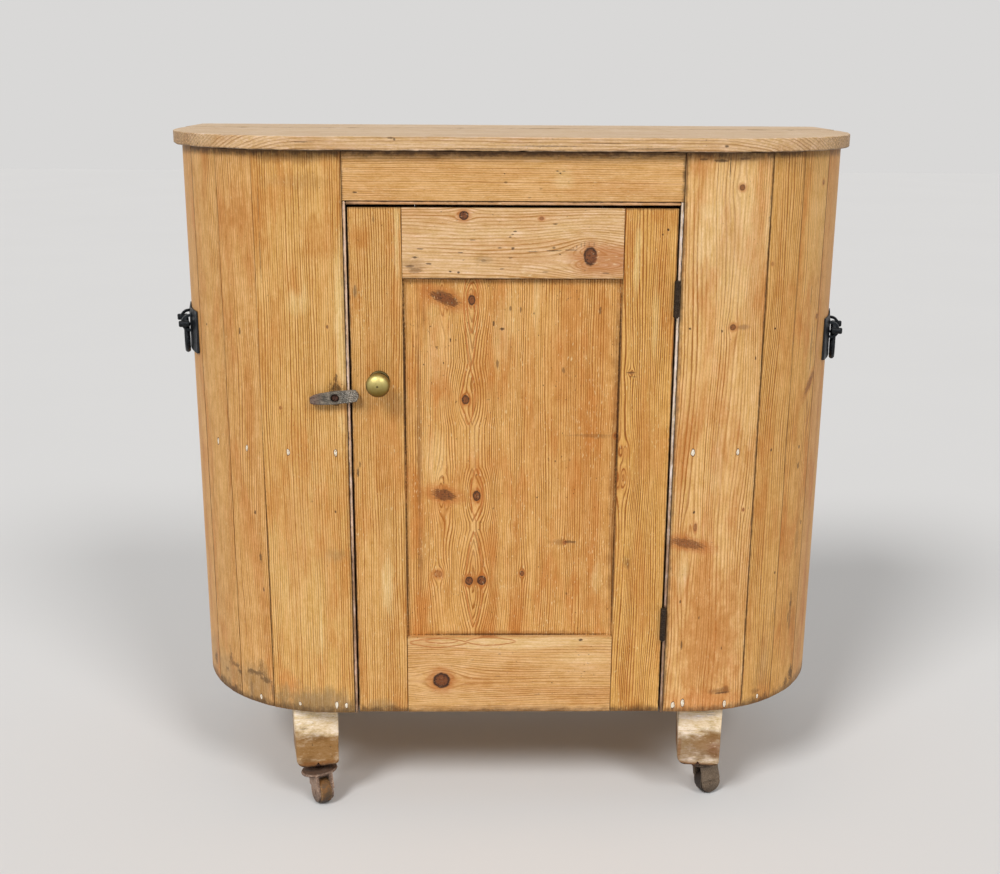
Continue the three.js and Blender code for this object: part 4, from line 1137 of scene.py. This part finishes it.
def add_knob(brass):
    neck, seat, end = 7.0, 3.8, KNOB_PROJECTION
    widest, neck_end = end * 0.72, end * 0.42
    profile = [(0, seat), (neck * 1.5, seat), (neck * 1.5, seat + 1.2), (neck * 1.1, seat + 3)]
    profile.append((neck, neck_end - 2))
    for i in range(1, 11):
        turn = math.radians(9 * i)
        radius = neck + (KNOB_RADIUS - neck) * math.sin(turn)
        profile.append((radius, widest - (widest - neck_end) * math.cos(turn)))
    for i in range(1, 13):
        turn = math.radians(90 * i / 13)
        radius = KNOB_RADIUS * math.cos(turn)
        profile.append((radius, widest + (end - widest) * math.sin(turn)))
    # the small hole in its middle
    profile += [(1.5, end - 0.05), (1.1, end - 0.5), (0, end - 0.6)]
    knob = lathe(profile, 64)
    for vert in knob.verts:
        dent = noise.noise(vert.co / MM / 7) * 0.12
        vert.co -= vert.co.normalized() * max(0.0, dent) * MM
    mark_worn(knob, lambda c: c.x**2 + c.y**2 < (1.6 * MM) ** 2 or c.z < 8 * MM)
    place = Matrix.Translation(to_row(KNOB_X, 0, KNOB_Z)) @ FACING_FRONT
    knob.transform(place)
    to_piece(knob, "brass_knob", "door", "brass", brass, replaces=("knob",), smooth=60)
    rim = [(15.0, 0.3), (15.2, 1.2), (14.7, 2.4), (13.8, 3.1), (12.6, 3.4)]
    rose = lathe([(3, 0.3), *rim, (3, 3.4), (3, 0.3)], 56)
    # The whole rose is marked worn, so the brass is dark on it: partly tarnish, partly painted shade
    # behind the knob
    mark_worn(rose, lambda _: True)
    rose.transform(place)
    to_piece(rose, "brass_rose", "door", "brass", brass, replaces=("knob_rose",), smooth=50)


def add_button(rusty):
    bm = from_node("turn_button")
    soften(bm, 0.9, 3, shortest=1.5)
    for axis, step in ((0, 1.8), (2, 1.8), (1, 2.4)):
        slice_up(bm, axis, step)
    bm.normal_update()
    depths = []
    for vert in bm.verts:
        place = vert.co / MM
        lump = noise.noise(Vector((place.x / 16, place.y / 6, place.z / 6))) * 0.5 + 0.5
        split = max(0.0, noise.noise(Vector((place.x / 22, place.y / 1.6, place.z / 1.6))) - 0.1)
        pit = max(0.0, noise.noise(place / 2.6) - 0.15)
        depths.append(lump * 1.0 + split * 1.5 + pit * 1.2)
    press_in(bm, depths)
    # the ends are narrowed about the button's middle line, which leans by 5 degrees
    for vert in bm.verts:
        along, _, high = in_source(vert.co) - Vector((BUTTON_X, 0, BUTTON_Z))
        level = high - along * math.tan(math.radians(5))
        past = max(0.0, abs(along) - 29) / 8
        vert.co.z -= level * 0.4 * past * past * MM
    node, looks = "turn_button", button_material()
    to_piece(bm, "button_of_wood", node, "grey_wood", looks, level_grain, (node,), smooth=50)
    # its head lies in the hollow round the button's middle
    head = BUTTON_LIFT + BUTTON_THICK - 3.4
    shank = [(0, -14), (2.2, -12), (2.4, head - 2.9)]
    dome = [(5.1, head - 2.6), (5.2, head - 1.6), (4.6, head - 0.7), (2.6, head - 0.15), (0, head)]
    screw = lathe(shank + dome, 28)
    cut_slot(screw, 0.8, 0.9, head - 1.0, 0.4)
    screw.transform(Matrix.Translation(to_row(BUTTON_X, 0, BUTTON_Z)) @ FACING_FRONT)
    to_piece(screw, "button_screw", "cabinet", "dark_iron", rusty, replaces=("turn_button_screw",))


def add_hinges(dark, pin):
    for word, middle in zip(("lower", "upper"), HINGE_HEIGHTS):
        for part, body, side in (("frame_leaf", "cabinet", 1), ("door_leaf", "door", -1)):
            node = f"hinge_{word}_{part}"
            leaf = from_node(node)
            soften(leaf, 0.25, 1, shortest=1.0)
            parts = [leaf]
            for inward, along in HINGE_SCREWS:
                screw = lathe([(0, 0), (2.5, 0), (2.4, 0.25), (1.4, 0.42), (0, 0.45)], 16)
                cut_slot(screw, 0.4, 0.3)
                turn = Matrix.Rotation(-side * math.pi / 2, 4, "Y")
                place = to_row(HINGE_X + side * LEAF_FACE, inward, middle + along)
                screw.transform(Matrix.Translation(place) @ turn)
                parts.append(screw)
            name = f"butt_{word}_{part}"
            to_piece(merged(parts), name, body, "dark_iron", dark, replaces=(node,), smooth=35)
        node, name = f"hinge_{word}_pin", f"butt_{word}_pin"
        to_piece(from_node(node), name, "cabinet", "dark_iron", pin, replaces=(node,), smooth=50)


def thin_peak(bm, word):
    """Hammers the peak of a handle's plate thin, towards the wood."""
    top = max(vert.co.z for vert in bm.verts)
    side = -1 if word == "left" else 1
    for vert in bm.verts:
        share = 1 - min(1.0, (top - vert.co.z) / (PLATE_PEAK * MM))
        if share <= 0:
            continue
        x, y, _ = in_source(vert.co)
        arm = Vector((x - side * HALF_FLAT, y - CORNER_RADIUS, 0))
        extra = arm.length - CORNER_RADIUS
        if extra > 0.5:
            vert.co -= arm.normalized() * (extra - 0.5) * min(1.0, share * 1.5) * 0.75 * MM


def add_metal(node, name, body, slot, material, change=None):
    """A metal piece from its CAD node, with softened edges."""
    bm = from_node(node)
    soften(bm, 0.5, 2, shortest=1.0)
    if change:
        change(bm)
    to_piece(bm, name, body, slot, material, replaces=(node,), smooth=45)


def add_rest():
    """The metal, the button and the feet."""
    irons = {name: iron_material(name) for name in IRONS}
    add_knob(brass_material())
    add_button(irons["rusty_iron"])
    add_hinges(irons["dark_iron"], irons["pin_iron"])
    black = irons["black_iron"]
    for word in ("left", "right"):
        plate, bail = f"plate_{word}", f"bail_{word}"
        thin = partial(thin_peak, word=word)
        add_metal(f"handle_{plate}", f"iron_{plate}", "cabinet", "black_iron", black, thin)
        add_metal(f"handle_{bail}", f"iron_{bail}", bail, "black_iron", black)
    for word in ("front_left", "front_right", "rear_left", "rear_right"):
        pale = word == "front_left"
        fork, wheel = ("worn_iron", "tan_wheel") if pale else ("dark_fork", "dark_wheel")
        for part, look in (("plate", "rusty_iron"), ("fork", fork), ("wheel", wheel)):
            node = f"castor_{part}_{word}"
            body = "cabinet" if part == "plate" else node
            add_metal(node, f"rusty_{part}_{word}", body, "rusty_iron", irons[look])
        add_foot(word)


def foot_shape(co, limits):
    """Hand-cut blocks: the sides waver a little."""
    x, y, z = in_source(co)
    inward = noise.noise(Vector((x / 18, y / 18, z / 22))) * 0.5 + 0.5
    side = Vector((x - (limits[0] + limits[1]) / 2, 0, 0)).normalized()
    return co - side * (inward * 0.7 * MM)


def add_foot(word):
    """A bare block, its grain level, whose lower part has kept an old dark stain."""
    node = f"foot_{word}"
    left = word.endswith("left")
    a0, a1, l0, l1, *_ = grain_limits(node, level_grain)
    middle, height = (l0 + l1) / 2, a1 - a0
    cut = a0 + height * (0.62 if left else 0.55)
    if left:
        stained = dict(
            ochre=(
                (cut - height * 0.32, middle, height * 0.34, 190, 0.95),
                (cut - height * 0.4, middle, height * 0.34, 190, 0.8),
            ),
            tan=(
                (cut - height * 0.12, middle + 4, height * 0.1, 22, 0.5),
                (a0 + 8, middle - 12, 9, 18, 0.6),
            ),
        )
    else:
        stained = dict(
            dun=((cut - height * 0.34, middle, height * 0.42, 190, 0.8),),
            ochre=((cut - height * 0.2, middle + 10, height * 0.22, 30, 0.6),),
            rust=((a0 + 26, middle + 20, 18, 13, 0.6),), tan=((a0 + 16, middle + 4, 14, 26, 0.5),),
        )
    edge_dirt_and_shade = dict(a0=(4, 0.85), a1=(3, 0.4), l0=(2.2, 0.45), l1=(2.2, 0.45))
    # Along d1, the back of the block, the front feet darken: painted shade under the carcass
    edge_dirt_and_shade["d1"] = (40, 0.0 if "rear" in word else 0.5)
    board(
        node, "cabinet", "bare_pine", level_grain,
        arris=2.0, chips=0.8, slices=((2, 4), (0, 5)), shape=foot_shape, tones=BARE, spacing=7, tilt=20,
        contrast=0.22, stain=0.2, mottle=2.0, specks=0.9, flecks=0.4,
        tint=(1.1, 1.13, 1.14) if left else (1.05, 1.07, 1.08),
        patches=dict(
            stained,
            brown=((a0 + 1, middle, 7, 60, 0.8), (a0 + height * 0.3, l0 + 4, height * 0.26, 3.5, 0.6)),
        ),
        marks=(
            (a1 - 11, middle + 8, 0.7, 13, 0.2 if left else 0.6),
            (a1 - 16, middle + 14, 0.6, 9, 0.1 if left else 0.5), (a1 - 20, middle - 2, 0.6, 11, 0.25),
            (cut + 2, middle - 14, 0.9, 9, 0.45 if left else 0.2),
        ),
        edge_dirt_and_shade=edge_dirt_and_shade,
    )


def add_fillers():
    """White filler in the nail holes of the shelf and of the bottom board."""
    spots = (
        (-466.8, 413.5, 1.9, 5.0), (-400.5, 415.1, 1.8, 4.6), (-329.6, 416.9, 2.0, 5.2),
        (-259.4, 417.7, 2.0, 5.4), (262.7, 418.6, 2.4, 5.0), (330.4, 417.5, 2.0, 4.6),
        (-395.6, 11.4, 1.9, 4.5), (-326.3, 12.6, 1.7, 3.0), (-268.8, 13.1, 1.9, 6.4),
        (-254.1, 11.7, 2.0, 4.4), (250.0, 11.9, 2.4, 5.2), (264.8, 14.4, 2.4, 5.9),
        (331.8, 10.4, 2.1, 6.2), (392.5, 11.4, 1.9, 3.8),
    )
    rings = [(0, -1.0), (1.35, -1.0), (1.35, 0.04), (1.06, 0.1), (1.0, 0.26), (0.7, 0.44), (0, 0.5)]
    parts = []
    for number, (walk, z, width, height) in enumerate(spots):
        spot = lathe(rings, 18)
        mark_worn(spot, lambda c: math.hypot(c.x, c.y) > 1.04 * MM)
        for vert in spot.verts:
            edge = 1 + 0.3 * noise.noise(Vector((vert.co.x * 900, vert.co.y * 900, number * 3.7)))
            vert.co.x *= width * edge
            vert.co.y *= height * edge * 0.86
        side = -1 if walk < 0 else 1
        angle = max(0.0, abs(walk) - HALF_FLAT) / CORNER_RADIUS
        x = side * (HALF_FLAT + CORNER_RADIUS * math.sin(angle)) if angle else walk
        place = to_row(x, CORNER_RADIUS * (1 - math.cos(angle)), z)
        turn = side * angle
        spot.transform(Matrix.Translation(place) @ Matrix.Rotation(turn, 4, "Z") @ FACING_FRONT)
        parts.append(spot)
    to_piece(merged(parts), "nail_fillers", "cabinet", "bare_pine", filler_material())


# Stage and light
BACKDROP = srgb(217, 216, 215)
FLOOR_REACH = 14


def add_stage():
    s = new_shader("floor")
    place = s.place()
    cloud = s.cloud(place, (900, 900, 900), 2.0)
    pale = s.mix(cloud, srgb(219, 218, 217), srgb(222, 221, 220))
    material = s.finish(pale, 1.0, **{"Specular IOR Level": 0.0})
    bm = bmesh.new()
    for x, y in ((-1, -1), (1, -1), (1, 1), (-1, 1)):
        bm.verts.new((x * FLOOR_REACH, y * FLOOR_REACH, 0))
    bm.faces.new(bm.verts)
    mesh = bpy.data.meshes.new("floor")
    bm.to_mesh(mesh)
    bm.free()
    mesh.materials.append(material)
    floor = bpy.data.objects.new("floor", mesh)
    bpy.context.scene.collection.objects.link(floor)


# Two wide suns: (name, degrees round from the front, degrees up, strength)
SUNS = (("key", -36, 44, 1.76), ("fill", 34, 42, 1.05))
SUN_WIDTH = 18
SKY_LOW, SKY_HIGH = 0.1, 0.5


def add_light():
    """A sky that is brighter overhead, shown as the plain backdrop, and two soft suns."""
    world = bpy.data.worlds.new("studio")
    bpy.context.scene.world = world
    s = Shader(world)
    overhead = s.parts(s.node("TexCoord", {}))[2]
    grade = s.node("MapRange", {0: overhead, 1: 0.0, 2: 1.0, 3: SKY_LOW, 4: SKY_HIGH})
    camera, glossy, through = (
        s.node("LightPath", {}, out=f"Is {kind} Ray") for kind in ("Camera", "Glossy", "Transmission")
    )
    seen = s.maths("MAXIMUM", s.maths("MAXIMUM", camera, glossy), through)
    sky = s.node("Background", {0: (1.0, 0.995, 0.985, 1), 1: grade})
    plain = s.node("Background", {0: BACKDROP, 1: 1.0})
    s.node("OutputWorld", {0: s.node("MixShader", {0: seen, 1: sky, 2: plain})}, out=None)
    for name, turn, up, power in SUNS:
        data = bpy.data.lights.new(name, "SUN")
        data.angle = math.radians(SUN_WIDTH)
        data.energy = power
        lamp = bpy.data.objects.new(name, data)
        turn, up = math.radians(turn), math.radians(up)
        toward = Vector((math.sin(turn) * math.cos(up), -math.cos(turn) * math.cos(up), math.sin(up)))
        lamp.matrix_world = toward.to_track_quat("Z", "Y").to_matrix().to_4x4()
        bpy.context.scene.collection.objects.link(lamp)


add_camera()
add_walls()
add_top()
add_front_frame()
add_door()
add_inside()
add_rest()
add_fillers()
add_stage()
add_light()
bpy.context.scene.view_settings.view_transform = "Standard"
